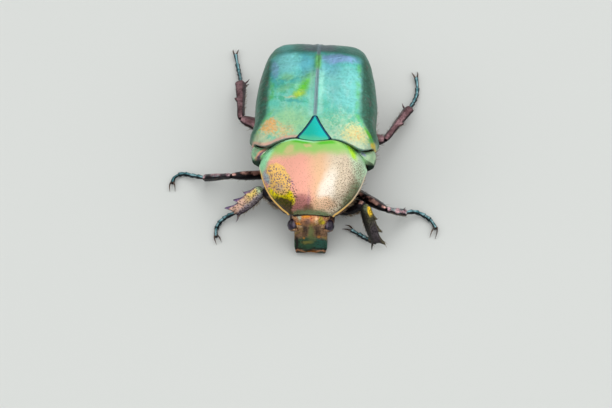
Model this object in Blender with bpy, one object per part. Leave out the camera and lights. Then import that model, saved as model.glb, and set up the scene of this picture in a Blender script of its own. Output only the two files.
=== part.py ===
"""A rose chafer at life size, standing still on six feet with its head bent down.

Lengths are metres. The pieces of the body are made in the body's own frame, where Y runs back from the base
of the pronotum, Z runs up from the belly and X runs to the animal's left. One empty tips that frame nose
down, and a second one carries the head. The legs are made in the frame of the ground. Every piece is one
closed solid, and neighbours keep GAP between them.
"""

import math
from dataclasses import dataclass

import bmesh
import bpy
import numpy as np
from mathutils import Matrix, Vector

MM = 0.001
GAP = 0.3 * MM

# Driving sizes of the body
ELYTRA_LENGTH = 10.95 * MM
ELYTRA_HALF_WIDTH = 5.15 * MM
PRONOTUM_LENGTH = 5.2 * MM
PRONOTUM_HALF_WIDTH = 4.25 * MM
SHELL = 0.55 * MM
SHELL_EDGE = 0.42 * MM
BODY_CLEARANCE = 0.4 * MM
NOSE_DOWN = math.radians(8)
LEAN = math.radians(2)
LEAN_HEIGHT = 3.0 * MM

# Outlines along the body, as shares of the length against shares of the half width, or against heights in mm
ELYTRA_WIDTHS = (
    (0.00, 0.92), (0.05, 0.985), (0.10, 1.0), (0.17, 0.97), (0.25, 0.945), (0.34, 0.95), (0.44, 0.955),
    (0.56, 0.935), (0.67, 0.9), (0.77, 0.855), (0.86, 0.79), (0.93, 0.71), (0.975, 0.59), (1.0, 0.42),
)
ELYTRA_TOPS = (
    (0.0, 6.5), (0.15, 6.62), (0.35, 6.7), (0.55, 6.56), (0.7, 6.25), (0.8, 5.88), (0.88, 5.4),
    (0.94, 4.85), (0.98, 4.3), (1.0, 3.9),
)
ELYTRA_EDGES = ((0.0, 4.5), (0.12, 4.35), (0.3, 4.2), (0.5, 3.75), (0.75, 3.5), (0.92, 3.55), (1.0, 3.7))
ELYTRA_POWERS = ((0.0, 2.75), (0.2, 3.1), (0.7, 3.3), (0.88, 3.5), (1.0, 3.0))
PRONOTUM_WIDTHS = (
    (0.0, 0.42), (0.06, 0.5), (0.15, 0.60), (0.35, 0.79), (0.55, 0.92), (0.72, 0.98), (0.86, 1.0), (0.95, 0.995),
    (1.0, 0.985),
)
PRONOTUM_TOPS = ((0.0, 4.1), (0.15, 4.88), (0.4, 5.68), (0.65, 6.2), (0.85, 6.45), (1.0, 6.5))
PRONOTUM_EDGES = ((0.0, 3.45), (0.15, 3.5), (0.4, 3.75), (0.7, 4.15), (1.0, 4.4))
PRONOTUM_POWER = 2.3

# Edges across the body, as distances from the middle against places along Y, both in mm
PRONOTUM_BASE = ((0.0, 0.0), (0.8, 0.1), (1.5, 0.22), (2.2, 0.13), (3.0, -0.15), (3.7, -0.55), (4.3, -1.0))
PRONOTUM_FRONT = ((0.0, 0.05), (1.0, 0.06), (1.5, 0.12), (1.9, 0.3))
ELYTRA_FRONT = (
    (0.0, 0.0), (0.8, 0.1), (1.5, 0.22), (2.2, 0.13), (3.0, -0.15), (3.5, -0.36), (3.9, -0.4), (4.3, -0.25), (4.9, 0.3),
)
EDGE_FADE = 1.6 * MM

# The scutellum between the elytra
SCUTELLUM_LENGTH = 2.1 * MM
SCUTELLUM_HALF_WIDTH = 1.28 * MM
SCUTELLUM_TIP = 0.1 * MM
SCUTELLUM_HOLLOW = 1.12

# Swellings of each elytron: place along X and Y in mm, height in mm, reach in mm
ELYTRA_SWELLINGS = (
    (3.9, 1.3, 0.12, 0.7),
    (2.6, 8.6, 0.15, 0.6),
    (2.0, 5.2, 0.06, 0.5),
    (0.9, 5.0, -0.10, 0.5),
    (0.9, 7.0, -0.12, 0.6),
    (1.5, 6.4, -0.06, 0.6),
)

# The cores under the shells: outlines along Y, in mm
BELLY = (
    (-4.6, 2.3), (-3.0, 1.35), (-1.2, 0.75), (0.4, 0.2), (2.2, 0.0), (4.0, 0.1), (6.0, 0.4), (8.0, 0.8),
    (9.3, 1.25), (10.2, 2.0), (10.8, 2.8),
)
BELLY_POWER = 2.1
PROTHORAX_Y = (-4.5 * MM, -1.0 * MM)
THORAX_Y = (-0.7 * MM, 4.4 * MM)
ABDOMEN_Y = (4.7 * MM, 9.3 * MM)
PYGIDIUM_Y = (9.6 * MM, 10.62 * MM)
THORAX_SIDES = ((-0.7, 4.0), (0.0, 4.55), (1.0, 4.85), (2.5, 4.8), (4.4, 4.65))
MESOSTERNAL_KNOB = (0.0, -0.75, 0.62)
KNOB_RADIUS = 0.5 * MM
STERNITES = 5
STERNITE_LAP = 0.09 * MM

# The mesepimera: distances out and heights in mm, from the upper end of the plate to the lower one
MESEPIMERON_OUT = ((0.0, 3.9), (0.15, 4.35), (0.35, 4.72), (0.6, 4.85), (1.0, 4.5))
MESEPIMERON_HEIGHTS = ((0.0, 5.25), (0.15, 5.05), (0.35, 4.65), (0.6, 4.1), (1.0, 3.2))
MESEPIMERON_ROWS = 8
MESEPIMERON_COLUMNS = 4
MESEPIMERON_FRONT = -0.62 * MM
MESEPIMERON_SETBACK = 0.45 * MM
MESEPIMERON_SLACK = 0.25 * MM
MESEPIMERON_LEAST = 0.15 * MM
MESEPIMERON_FLARE = 0.22 * MM

# The head, in a frame with X across, Y up the face and Z out of it, from the front edge of the pronotum
FACE_ANGLE = math.radians(62)
HEAD_STATIONS = (
    # down the face, half width, rise of the face, depth behind it, squareness
    (-1.3, 1.30, -1.00, 2.0, 2.2),
    (-0.6, 1.42, -0.68, 2.1, 2.2),
    (0.1, 1.52, -0.28, 2.2, 2.3),
    (0.5, 1.54, 0.00, 2.2, 2.4),
    (0.9, 1.50, 0.10, 2.1, 2.5),
    (1.5, 1.40, 0.05, 1.75, 2.7),
    (2.0, 1.33, 0.0, 1.2, 3.2),
    (2.8, 1.33, 0.0, 0.75, 3.8),
    (3.35, 1.29, 0.02, 0.52, 4.5),
    (3.64, 1.18, 0.05, 0.42, 5.0),
)
CLYPEUS_NOTCH = 0.14
CLYPEUS_NOTCH_HALF_WIDTH = 0.42
HEAD_RINGS = 26
HEAD_SIDES = 32
EYE_PLACE = (1.43, -1.38, -0.5)
EYE_RADII = (0.44, 0.54, 0.46)
MOUTH_PLACE = (0.0, -2.35, -1.25)
MOUTH_RADII = (0.6, 0.5, 0.42)
LABRUM_PLACE = (0.0, -3.15, -0.85)
LABRUM_RADII = (0.6, 0.42, 0.24)
PALP_PATH = ((0.3, -2.4, -1.3), (0.42, -2.6, -1.5), (0.42, -2.75, -1.62))
ANTENNA_PATH = ((1.1, -1.75, -0.8), (1.38, -1.85, -1.15), (1.36, -2.0, -1.45), (1.32, -2.12, -1.65))
CLUB_WAY = (0.1, 0.12, -0.9)
CLUB_FAN = (0.6, 0.8, 0.0)
CLUB_SPREAD = 0.3
ACROSS = np.array((1.0, 0.0, 0.0))
OUT_OF_FACE = np.array((0.0, 0.0, 1.0))

# Colours, roughness and metallic of the pieces
FINISHES = {
    "pronotum_copper": ((0.80, 0.38, 0.26), 0.28, 0.85),
    "elytra_green": ((0.18, 0.62, 0.40), 0.28, 0.85),
    "scutellum_teal": ((0.02, 0.55, 0.50), 0.28, 0.85),
    "side_green": ((0.10, 0.35, 0.18), 0.32, 0.80),
    "under_bronze": ((0.10, 0.06, 0.05), 0.36, 0.70),
    "head_bronze": ((0.32, 0.14, 0.07), 0.34, 0.80),
    "eye_black": ((0.02, 0.015, 0.03), 0.15, 0.0),
    "mouth_amber": ((0.35, 0.12, 0.03), 0.40, 0.0),
    "feeler_dark": ((0.05, 0.03, 0.025), 0.40, 0.2),
    "leg_bronze": ((0.09, 0.05, 0.045), 0.30, 0.75),
}


@dataclass(frozen=True)
class LegPose:
    """Where one leg stands, as points above the ground in mm."""

    coxa: tuple
    hip: tuple
    knee: tuple
    ankle: tuple
    toes: tuple
    claws: tuple


@dataclass(frozen=True)
class LegBuild:
    """The sizes of one pair of legs in mm, with its teeth as shares of the tibia against lengths, the number of
    its spurs, and how far inward of the ankle their tips lie."""

    coxa_radii: tuple
    femur: tuple
    tibia: tuple
    shin_profile: tuple
    teeth: tuple
    spurs: int
    spur_drop: float


SHIN_PLACES = (0.0, 0.05, 0.3, 0.6, 0.88, 0.97, 1.0)
BLADE_PROFILE = (0.5, 0.72, 1.0, 1.0, 0.76, 0.64, 0.5)
SHIN_PROFILE = (0.5, 0.62, 0.7, 0.84, 1.0, 1.0, 0.75)
LEG_BUILDS = {
    "fore": LegBuild(
        (0.95, 0.6, 0.55), (0.62, 0.42), (0.58, 0.27), BLADE_PROFILE, ((0.4, 0.3), (0.7, 0.46), (0.97, 0.6)), 1, 0.62
    ),
    "mid": LegBuild((1.2, 0.6, 0.5), (0.6, 0.4), (0.37, 0.28), SHIN_PROFILE, ((0.52, 0.22),), 2, 0.72),
    "hind": LegBuild((1.7, 0.7, 0.42), (0.72, 0.42), (0.46, 0.3), SHIN_PROFILE, ((0.5, 0.24),), 2, 0.81),
}
TARSUS_RADIUS = 0.27 * MM
TARSUS_NECK = 0.86

LEG_POSES = {
    "fore_right": LegPose(
        (-1.12, -2.9, 1.1), (-1.8, -3.05, 1.0), (-4.05, -2.22, 2.3), (-6.3, -3.62, 0.85),
        ((-7.05, -3.75, 0.45), (-7.52, -4.15, 0.3), (-7.78, -4.91, 0.23), (-7.72, -5.61, 0.23)),
        (-7.46, -6.1, 0.08),
    ),
    "fore_left": LegPose(
        (1.12, -2.9, 1.1), (1.8, -3.05, 1.0), (4.16, -3.82, 2.6), (5.18, -6.29, 0.9),
        ((4.55, -5.7, 0.5), (4.0, -5.2, 0.3), (3.5, -4.84, 0.23), (3.1, -4.58, 0.23)),
        (2.5, -4.2, 0.08),
    ),
    "mid_right": LegPose(
        (-1.6, 0.5, 0.95), (-2.7, 0.35, 0.95), (-6.7, -1.2, 2.6), (-9.07, -0.08, 0.8),
        ((-10.23, 0.45, 0.4), (-11.2, 0.67, 0.25), (-11.72, 0.27, 0.23), (-11.82, -0.3, 0.23)),
        (-11.75, -1.0, 0.08),
    ),
    "mid_left": LegPose(
        (1.65, 0.0, 0.95), (2.5, -0.75, 0.9), (5.93, -3.79, 2.0), (7.43, -3.27, 0.9),
        ((8.23, -2.85, 0.5), (9.05, -3.08, 0.28), (9.62, -3.62, 0.23), (9.93, -4.3, 0.23)),
        (9.68, -5.1, 0.08),
    ),
    "hind_right": LegPose(
        (-1.9, 4.0, 1.0), (-2.6, 4.5, 1.0), (-6.42, 5.2, 2.1), (-6.89, 10.19, 0.9),
        ((-7.1, 11.3, 0.5), (-7.3, 12.2, 0.27), (-7.51, 13.15, 0.23), (-7.7, 14.0, 0.23)),
        (-7.73, 14.75, 0.08),
    ),
    "hind_left": LegPose(
        (1.9, 4.0, 1.0), (2.6, 4.2, 1.0), (5.65, 3.26, 2.1), (7.57, 7.64, 0.9),
        ((7.95, 8.75, 0.5), (8.17, 9.7, 0.27), (8.21, 10.78, 0.23), (8.1, 11.7, 0.23)),
        (7.93, 12.5, 0.08),
    ),
}

# Fineness of the meshes
ARCH_STEPS = 400
ELYTRON_ROWS = 22
ELYTRON_COLUMNS = 11
PRONOTUM_ROWS = 13
PRONOTUM_COLUMNS = 21
CORE_LOW = 8
CORE_HIGH = 5
LIMB_SIDES = 10
TARSUS_SIDES = 8
LARGEST_SPREAD = 1.6
LEAST_KEPT = 0.3
SPUR_CLEARANCE = 0.08 * MM


def clear_scene():
    """Removes every object of the open scene."""
    for item in list(bpy.data.objects):
        bpy.data.objects.remove(item, do_unlink=True)


def finish(name):
    """The metallic or plain material of this name, made once."""
    made = bpy.data.materials.get(name)
    if made:
        return made
    colour, roughness, metallic = FINISHES[name]
    made = bpy.data.materials.new(name)
    made.use_nodes = True
    shader = made.node_tree.nodes["Principled BSDF"]
    shader.inputs["Base Color"].default_value = (*colour, 1.0)
    shader.inputs["Roughness"].default_value = roughness
    shader.inputs["Metallic"].default_value = metallic
    return made


def empty(name, parent=None, location=(0.0, 0.0, 0.0), rotation=(0.0, 0.0, 0.0)):
    """An empty that carries other objects."""
    made = bpy.data.objects.new(name, None)
    bpy.context.scene.collection.objects.link(made)
    made.parent = parent
    made.location = location
    made.rotation_euler = rotation
    return made


def solid(name, mesh, look, parent):
    """An object of a bmesh, with its faces turned outwards and shaded smooth."""
    bmesh.ops.recalc_face_normals(mesh, faces=mesh.faces)
    data = bpy.data.meshes.new(name)
    mesh.to_mesh(data)
    mesh.free()
    data.materials.append(finish(look))
    data.shade_smooth()
    data.set_sharp_from_angle(angle=math.radians(50))
    made = bpy.data.objects.new(name, data)
    bpy.context.scene.collection.objects.link(made)
    made.parent = parent
    return made


def smooth(stations, at):
    """Reads the smooth curve through (place, value) stations at one place or at an array of them."""
    places, values = np.array(stations, float).T
    slopes = np.gradient(values, places)
    at = np.clip(at, places[0], places[-1])
    low = np.clip(np.searchsorted(places, at, side="right") - 1, 0, len(places) - 2)
    step = places[low + 1] - places[low]
    t = (at - places[low]) / step
    near = (1 + 2 * t) * values[low] + t * step * slopes[low]
    far = (3 - 2 * t) * values[low + 1] + (t - 1) * step * slopes[low + 1]
    return (1 - t) ** 2 * near + t ** 2 * far


def arch(width, top, edge, power, shares, start=0.0):
    """Points (x, z) of a rounded arch, at shares of the way from x = start to the side edge at x = width."""
    angle = np.linspace(0, math.pi / 2, ARCH_STEPS)
    x = width * np.sin(angle) ** (2 / power)
    z = edge + (top - edge) * np.cos(angle) ** (2 / power)
    way = np.concatenate([[0], np.cumsum(np.hypot(np.diff(x), np.diff(z)))])
    first = np.interp(start, x, way)
    at = first + np.asarray(shares) * (way[-1] - first)
    return np.interp(at, way, x), np.interp(at, way, z)


def normals_of(grid):
    """Unit normals of a grid of points, one for each point."""
    down = np.gradient(grid, axis=0)
    across = np.gradient(grid, axis=1)
    normal = np.cross(across, down)
    return normal / np.maximum(np.linalg.norm(normal, axis=2, keepdims=True), 1e-12)


def add_grid(mesh, grid):
    """Adds a grid's points and faces to a bmesh, and gives its vertices back by row."""
    rows = [[mesh.verts.new(point) for point in row] for row in grid]
    for above, below in zip(rows, rows[1:]):
        for i in range(len(above) - 1):
            mesh.faces.new((above[i], above[i + 1], below[i + 1], below[i]))
    return rows


def rim(rows):
    """The vertices round the border of a grid, in order."""
    right = [row[-1] for row in rows[1:-1]]
    left = [row[0] for row in rows[1:-1]]
    return rows[0] + right + rows[-1][::-1] + left[::-1]


def plate(name, outer, inner, look, parent):
    """A closed plate between an outer and an inner grid with the same rows and columns."""
    mesh = bmesh.new()
    outside = rim(add_grid(mesh, outer))
    inside = rim(add_grid(mesh, inner))
    for i, vertex in enumerate(outside):
        after = (i + 1) % len(outside)
        mesh.faces.new((vertex, outside[after], inside[after], inside[i]))
    return solid(name, mesh, look, parent)


def sunk(grid, thickness):
    """The grid moved inwards by a thickness, which may vary over it."""
    middle = grid.reshape(-1, 3).mean(axis=0)
    normal = normals_of(grid)
    outward = np.sum(normal * (grid - middle)) < 0
    return grid - (-normal if outward else normal) * np.broadcast_to(thickness, grid.shape[:2])[..., None]


def loft(name, rings, look, parent):
    """A closed solid through rings with equal numbers of points, with a flat face at each end."""
    mesh = bmesh.new()
    loops = [[mesh.verts.new(point) for point in ring] for ring in rings]
    count = len(loops[0])
    for near, far in zip(loops, loops[1:]):
        for i in range(count):
            after = (i + 1) % count
            mesh.faces.new((near[i], near[after], far[after], far[i]))
    mesh.faces.new(loops[0])
    mesh.faces.new(loops[-1][::-1])
    return solid(name, mesh, look, parent)


def closed_pieces(mesh):
    """The separate surfaces of a bmesh, as lists of faces."""
    left = set(mesh.faces)
    pieces = []
    while left:
        stack = [left.pop()]
        piece = list(stack)
        while stack:
            for edge in stack.pop().edges:
                for face in edge.link_faces:
                    if face in left:
                        left.remove(face)
                        stack.append(face)
                        piece.append(face)
        pieces.append(piece)
    return pieces


def piece_volume(faces):
    """The volume inside a closed surface, less than nothing where it faces inwards."""
    corners = [[v.co for v in face.verts] for face in faces]
    return sum(c[0].dot(c[i].cross(c[i + 1])) for c in corners for i in range(1, len(c) - 1)) / 6


def keep_largest(data):
    """Leaves only the closed surface with the most volume, and gives that volume, or 0 if an edge is open."""
    mesh = bmesh.new()
    mesh.from_mesh(data)
    pieces = sorted(closed_pieces(mesh), key=piece_volume)
    for piece in pieces[:-1]:
        bmesh.ops.delete(mesh, geom=piece, context="FACES")
    whole = bool(mesh.faces) and all(edge.is_manifold for edge in mesh.edges)
    volume = mesh.calc_volume() if whole else 0.0
    mesh.to_mesh(data)
    mesh.free()
    return volume


def apply_boolean(obj, others, operation):
    """Applies one Boolean between an object and a collection of others, which are then removed.

    The exact solver comes first. The other one is used where the first leaves an open edge or loses most of
    the object.
    """
    before = keep_largest(obj.data)
    group = bpy.data.collections.new("boolean")
    for other in others:
        group.objects.link(other)
    modifier = obj.modifiers.new("boolean", "BOOLEAN")
    modifier.operand_type = "COLLECTION"
    modifier.collection = group
    modifier.operation = operation
    for solver in ("EXACT", "MANIFOLD"):
        modifier.solver = solver
        bpy.context.view_layer.update()
        graph = bpy.context.evaluated_depsgraph_get()
        data = bpy.data.meshes.new_from_object(obj.evaluated_get(graph))
        if keep_largest(data) > LEAST_KEPT * before:
            break
    obj.modifiers.clear()
    obj.data = data
    for other in others:
        bpy.data.objects.remove(other, do_unlink=True)
    bpy.data.collections.remove(group)
    data.set_sharp_from_angle(angle=math.radians(50))


def fuse(obj, others):
    """Joins other closed objects to one object."""
    apply_boolean(obj, others, "UNION")


def spread(obj, by):
    """A copy of an object, swollen by a distance all round."""
    copy = obj.copy()
    copy.data = obj.data.copy()
    bpy.context.scene.collection.objects.link(copy)
    mesh = bmesh.new()
    mesh.from_mesh(copy.data)
    mesh.normal_update()
    moves = [v.normal * by * min(v.calc_shell_factor(), LARGEST_SPREAD) for v in mesh.verts]
    for vertex, move in zip(mesh.verts, moves):
        vertex.co += move
    mesh.to_mesh(copy.data)
    mesh.free()
    return copy


def cut_clear(obj, neighbours, gap=GAP):
    """Cuts an object back until it stands a gap away from each neighbour."""
    for other in neighbours:
        apply_boolean(obj, [spread(other, gap)], "DIFFERENCE")


def ellipsoid(name, centre, radii, along, look, parent, rings=8, sides=12):
    """An ellipsoid whose first radius lies along a direction."""
    mesh = bmesh.new()
    bmesh.ops.create_uvsphere(mesh, u_segments=sides, v_segments=rings, radius=1.0)
    turn = Vector(along).to_track_quat("X", "Z").to_matrix().to_4x4()
    place = Matrix.Translation(Vector(centre) * MM) @ turn @ Matrix.Diagonal((*(r * MM for r in radii), 1.0))
    bmesh.ops.transform(mesh, matrix=place, verts=mesh.verts)
    return solid(name, mesh, look, parent)


def even_path(points, count):
    """Points at even steps on the smooth curve through a few points."""
    points = np.asarray(points, float)
    way = np.concatenate([[0], np.cumsum(np.linalg.norm(np.diff(points, axis=0), axis=1))])
    at = np.linspace(0, way[-1], count)
    return np.stack([smooth(np.stack([way, axis], 1), at) for axis in points.T], 1)


def limb(name, path, outer, broad, thin, look, parent, sides=LIMB_SIDES):
    """A tube along a path, with elliptical sections that are broad in the direction called outer."""
    path = np.asarray(path, float)
    rings = []
    for point, heading, wide, flat in zip(path, np.gradient(path, axis=0), broad, thin):
        heading = heading / np.linalg.norm(heading)
        out = outer - heading * np.dot(outer, heading)
        out = out / np.linalg.norm(out)
        side = np.cross(heading, out)
        angle = np.arange(sides) * 2 * math.pi / sides
        rings.append(point + np.outer(np.cos(angle) * wide, out) + np.outer(np.sin(angle) * flat, side))
    return loft(name, rings, look, parent)


def spike(root, tip, radius, look, parent, sides=6, bend=(0.0, 0.0, 0.0)):
    """A tapered spike from root to tip, bowed by an offset at its middle."""
    root, tip, bend = (np.asarray(v, float) for v in (root, tip, bend))
    shares = np.array([0.0, 0.35, 0.7, 1.0])
    path = root + np.outer(shares, tip - root) + np.outer(4 * shares * (1 - shares), bend)
    radii = radius * np.array([1.0, 0.85, 0.5, 0.12])
    outer = np.cross(tip - root, (0.3, 0.2, 1.0))
    return limb("spike", path, outer, radii, radii, look, parent, sides)


def elytron_seam(y):
    """How far the inner edge of an elytron stands from the middle."""
    return np.maximum(GAP / 2, scutellum_half_width(y) + GAP)


def scutellum_half_width(y):
    """Half the width of the scutellum at a place along the body, and less than nothing past its tip."""
    share = (y - GAP) / SCUTELLUM_LENGTH
    taper = np.maximum(1 - share, 0.0) ** SCUTELLUM_HOLLOW
    return np.where(share < 1, SCUTELLUM_TIP + (SCUTELLUM_HALF_WIDTH - SCUTELLUM_TIP) * taper, -GAP)


def across(stations, x):
    """Reads a curve given in mm across the body at distances in metres."""
    return smooth(stations, np.abs(x) / MM) * MM


def edge_thickness(shape, both_sides):
    """A shell's thickness over its grid, thinner at the free edges."""
    rows, columns = np.meshgrid(np.linspace(0, 1, shape[0]), np.linspace(0, 1, shape[1]), indexing="ij")
    to_edge = np.minimum(1 - columns, columns) if both_sides else 1 - columns
    share = np.clip(to_edge * 6, 0, 1)
    return SHELL_EDGE + (SHELL - SHELL_EDGE) * share


def elytron_grid(rows, columns):
    """The upper surface of the left elytron, from the seam out to the side edge."""
    shares = 1 - (1 - np.linspace(0, 1, rows)) ** 1.5
    grid = np.empty((rows, columns, 3))
    for row, share in enumerate(shares):
        y = GAP + share * (ELYTRA_LENGTH - GAP)
        place = y / ELYTRA_LENGTH
        width = smooth(ELYTRA_WIDTHS, place) * ELYTRA_HALF_WIDTH
        top = smooth(ELYTRA_TOPS, place) * MM
        edge = smooth(ELYTRA_EDGES, place) * MM
        power = smooth(ELYTRA_POWERS, place)
        x, z = arch(width, top, edge, power, np.linspace(0, 1, columns), elytron_seam(y))
        fade = max(0.0, 1 - (y - GAP) / EDGE_FADE)
        grid[row] = np.stack([x, y + across(ELYTRA_FRONT, x) * fade, z], 1)
    for px, py, height, reach in ELYTRA_SWELLINGS:
        off = (grid[..., 0] / MM - px) ** 2 + (grid[..., 1] / MM - py) ** 2
        grid[..., 2] += height * MM * np.exp(-off / (2 * reach ** 2))
    return grid


def mirrored(grid):
    """The same grid on the other side of the body."""
    return grid * np.array([-1.0, 1.0, 1.0])


def make_elytra(body):
    """The two wing cases, as shells over the abdomen."""
    outer = elytron_grid(ELYTRON_ROWS, ELYTRON_COLUMNS)
    inner = sunk(outer, edge_thickness(outer.shape, both_sides=False))
    seam = outer[:, :1, 0]
    inner[..., 0] = np.maximum(inner[..., 0], seam)
    plate("elytron_left", outer, inner, "elytra_green", body)
    plate("elytron_right", mirrored(outer), mirrored(inner), "elytra_green", body)


def pronotum_grid(rows, columns):
    """The upper surface of the pronotum, from its front edge back to its base."""
    sides = np.linspace(-1, 1, columns)
    grid = np.empty((rows, columns, 3))
    for row, share in enumerate(np.linspace(0, 1, rows)):
        y = (share - 1) * PRONOTUM_LENGTH
        width = smooth(PRONOTUM_WIDTHS, share) * PRONOTUM_HALF_WIDTH
        top = smooth(PRONOTUM_TOPS, share) * MM
        edge = smooth(PRONOTUM_EDGES, share) * MM
        x, z = arch(width, top, edge, PRONOTUM_POWER, np.abs(sides))
        x = np.sign(sides) * x
        at_base = max(0.0, 1 + y / EDGE_FADE)
        at_front = max(0.0, 1 - (y + PRONOTUM_LENGTH) / EDGE_FADE)
        shift = across(PRONOTUM_BASE, x) * at_base + across(PRONOTUM_FRONT, x) * at_front
        grid[row] = np.stack([x, y + shift, z], 1)
    return grid


def make_pronotum(body):
    """The shield over the front of the body."""
    outer = pronotum_grid(PRONOTUM_ROWS, PRONOTUM_COLUMNS)
    inner = sunk(outer, edge_thickness(outer.shape, both_sides=True))
    return plate("pronotum", outer, inner, "pronotum_copper", body)


def make_scutellum(body):
    """The triangular shield between the elytra."""
    rows, columns = 8, 9
    sides = np.linspace(-1, 1, columns)
    outer = np.empty((rows, columns, 3))
    for row, share in enumerate(np.linspace(0, 1, rows)):
        y = GAP + share * (SCUTELLUM_LENGTH - 0.02 * MM)
        x = sides * scutellum_half_width(y)
        z = smooth(ELYTRA_TOPS, y / ELYTRA_LENGTH) * MM - 0.01 * (x / MM) ** 2 * MM
        fade = max(0.0, 1 - (y - GAP) / EDGE_FADE)
        outer[row] = np.stack([x, y + across(ELYTRA_FRONT, x) * fade, z], 1)
    inner = outer - np.array([0.0, 0.0, SHELL])
    return plate("scutellum", outer, inner, "scutellum_teal", body)


def core_ring(y, low_width, belly, ledge, high_width, top):
    """A section of the trunk: a rounded belly up to a ledge under the shell, and an arch inside the shell."""
    low_x, low_z = arch(low_width, belly, ledge, BELLY_POWER, np.linspace(0, 1, CORE_LOW + 1))
    high_x, high_z = arch(high_width, top, ledge, 2.4, np.linspace(1, 0, CORE_HIGH + 1))
    x = np.concatenate([low_x, high_x])
    z = np.concatenate([low_z, high_z])
    x = np.concatenate([x, -x[-2:0:-1]])
    z = np.concatenate([z, z[-2:0:-1]])
    return np.stack([x, np.full_like(x, y), z], 1)


def make_prothorax(body):
    """The trunk under the pronotum."""
    rings = []
    for y in np.linspace(*PROTHORAX_Y, 6):
        share = 1 + y / PRONOTUM_LENGTH
        width = smooth(PRONOTUM_WIDTHS, share) * PRONOTUM_HALF_WIDTH
        ledge = smooth(PRONOTUM_EDGES, share) * MM - GAP
        top = smooth(PRONOTUM_TOPS, share) * MM - SHELL - GAP - 0.1 * MM
        belly = smooth(BELLY, y / MM) * MM
        rings.append(core_ring(y, width - 0.12 * MM, belly, ledge, width - SHELL - GAP - 0.15 * MM, top))
    prothorax = loft("prothorax", rings, "under_bronze", body)
    knob = make_knob(body)
    cut_clear(prothorax, [knob])
    bpy.data.objects.remove(knob, do_unlink=True)
    return prothorax


def make_knob(body):
    """The knob between the middle legs."""
    radius = KNOB_RADIUS / MM
    return ellipsoid(
        "knob", MESOSTERNAL_KNOB, (radius * 1.3, radius, radius * 0.8), (0, 1, 0), "under_bronze", body
    )


def make_thorax(body):
    """The trunk under the front half of the elytra, with its knob between the middle legs."""
    rings = []
    for y in np.linspace(*THORAX_Y, 9):
        place = max(y, 0.0) / ELYTRA_LENGTH
        width = smooth(ELYTRA_WIDTHS, place) * ELYTRA_HALF_WIDTH
        ledge = smooth(ELYTRA_EDGES, place) * MM - GAP
        top = smooth(ELYTRA_TOPS, place) * MM - SHELL - GAP - 0.2 * MM
        low = smooth(THORAX_SIDES, y / MM) * MM
        belly = smooth(BELLY, y / MM) * MM
        high = min(width, low) - SHELL - GAP - 0.15 * MM
        rings.append(core_ring(y, low, belly, ledge, high, top))
    thorax = loft("thorax", rings, "under_bronze", body)
    fuse(thorax, [make_knob(body)])
    return thorax


def abdomen_section(y, scale=1.0):
    """The lower half width, belly, ledge, upper half width and top of the abdomen at a place along it."""
    place = y / ELYTRA_LENGTH
    width = smooth(ELYTRA_WIDTHS, place) * ELYTRA_HALF_WIDTH
    ledge = smooth(ELYTRA_EDGES, place) * MM - GAP
    top = smooth(ELYTRA_TOPS, place) * MM - SHELL - GAP - 0.25 * MM
    belly = smooth(BELLY, y / MM) * MM
    low = (width - 0.1 * MM) * scale
    return low, ledge + (belly - ledge) * scale, ledge, width - SHELL - GAP - 0.25 * MM, top


def make_abdomen(body):
    """The abdomen under the elytra, with the laps of its plates below."""
    lap = STERNITE_LAP / ELYTRA_HALF_WIDTH
    rings = []
    joints = np.linspace(*ABDOMEN_Y, STERNITES + 1)
    for front, back in zip(joints, joints[1:]):
        for y, scale in ((front, 1 - lap), (front + 0.15 * (back - front), 1.0), (back - 0.01 * MM, 1 + lap)):
            rings.append(core_ring(y, *abdomen_section(y, scale)))
    return loft("abdomen", rings, "under_bronze", body)


def make_pygidium(body):
    """The shield that closes the end of the abdomen below the tips of the elytra."""
    start, end = PYGIDIUM_Y
    low, belly, ledge, _, _ = abdomen_section(start)
    rings = []
    for share in (0.0, 0.35, 0.65, 0.85, 0.96, 1.0):
        size = math.sqrt(max(1 - share ** 2, 0.02))
        y = start + share * (end - start)
        top = ledge - 0.05 * MM
        middle = belly + (top - belly) * (0.5 + 0.35 * share)
        angle = np.arange(16) * 2 * math.pi / 16
        x = low * 0.97 * size * np.cos(angle)
        z = middle + np.sin(angle) * np.where(np.sin(angle) > 0, (top - middle), (middle - belly)) * size
        rings.append(np.stack([x, np.full_like(x, y), z], 1))
    return loft("pygidium", rings, "side_green", body)


def make_mesepimera(body):
    """The side plates that show between the corners of the pronotum and the shoulders."""
    made = []
    shares = np.linspace(0, 1, MESEPIMERON_ROWS)
    out = smooth(MESEPIMERON_OUT, shares) * MM
    height = smooth(MESEPIMERON_HEIGHTS, shares) * MM
    front = np.maximum(across(PRONOTUM_BASE, out) + MESEPIMERON_SETBACK, MESEPIMERON_FRONT)
    back = across(ELYTRA_FRONT, out) + MESEPIMERON_SLACK * shares
    columns = np.linspace(0, 1, MESEPIMERON_COLUMNS)
    y = front[:, None] + columns * np.maximum(back - front, MESEPIMERON_LEAST)[:, None]
    x = out[:, None] + MESEPIMERON_FLARE * np.sin(columns * math.pi * 0.6)
    outer = np.stack([x, y, np.broadcast_to(height[:, None], x.shape)], 2)
    inner = outer - np.array([0.6 * MM, 0.0, 0.1 * MM])
    for name, grids in (("left", (outer, inner)), ("right", (mirrored(outer), mirrored(inner)))):
        made.append(plate(f"mesepimeron_{name}", *grids, "side_green", body))
    return made


def bell(at, place, reach):
    """A bell of height one at a place."""
    return np.exp(-(((at - place) / reach) ** 2))


def ramp(low, high, at):
    """A soft step from 0 at low to 1 at high."""
    t = np.clip((at - low) / (high - low), 0, 1)
    return t * t * (3 - 2 * t)


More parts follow.
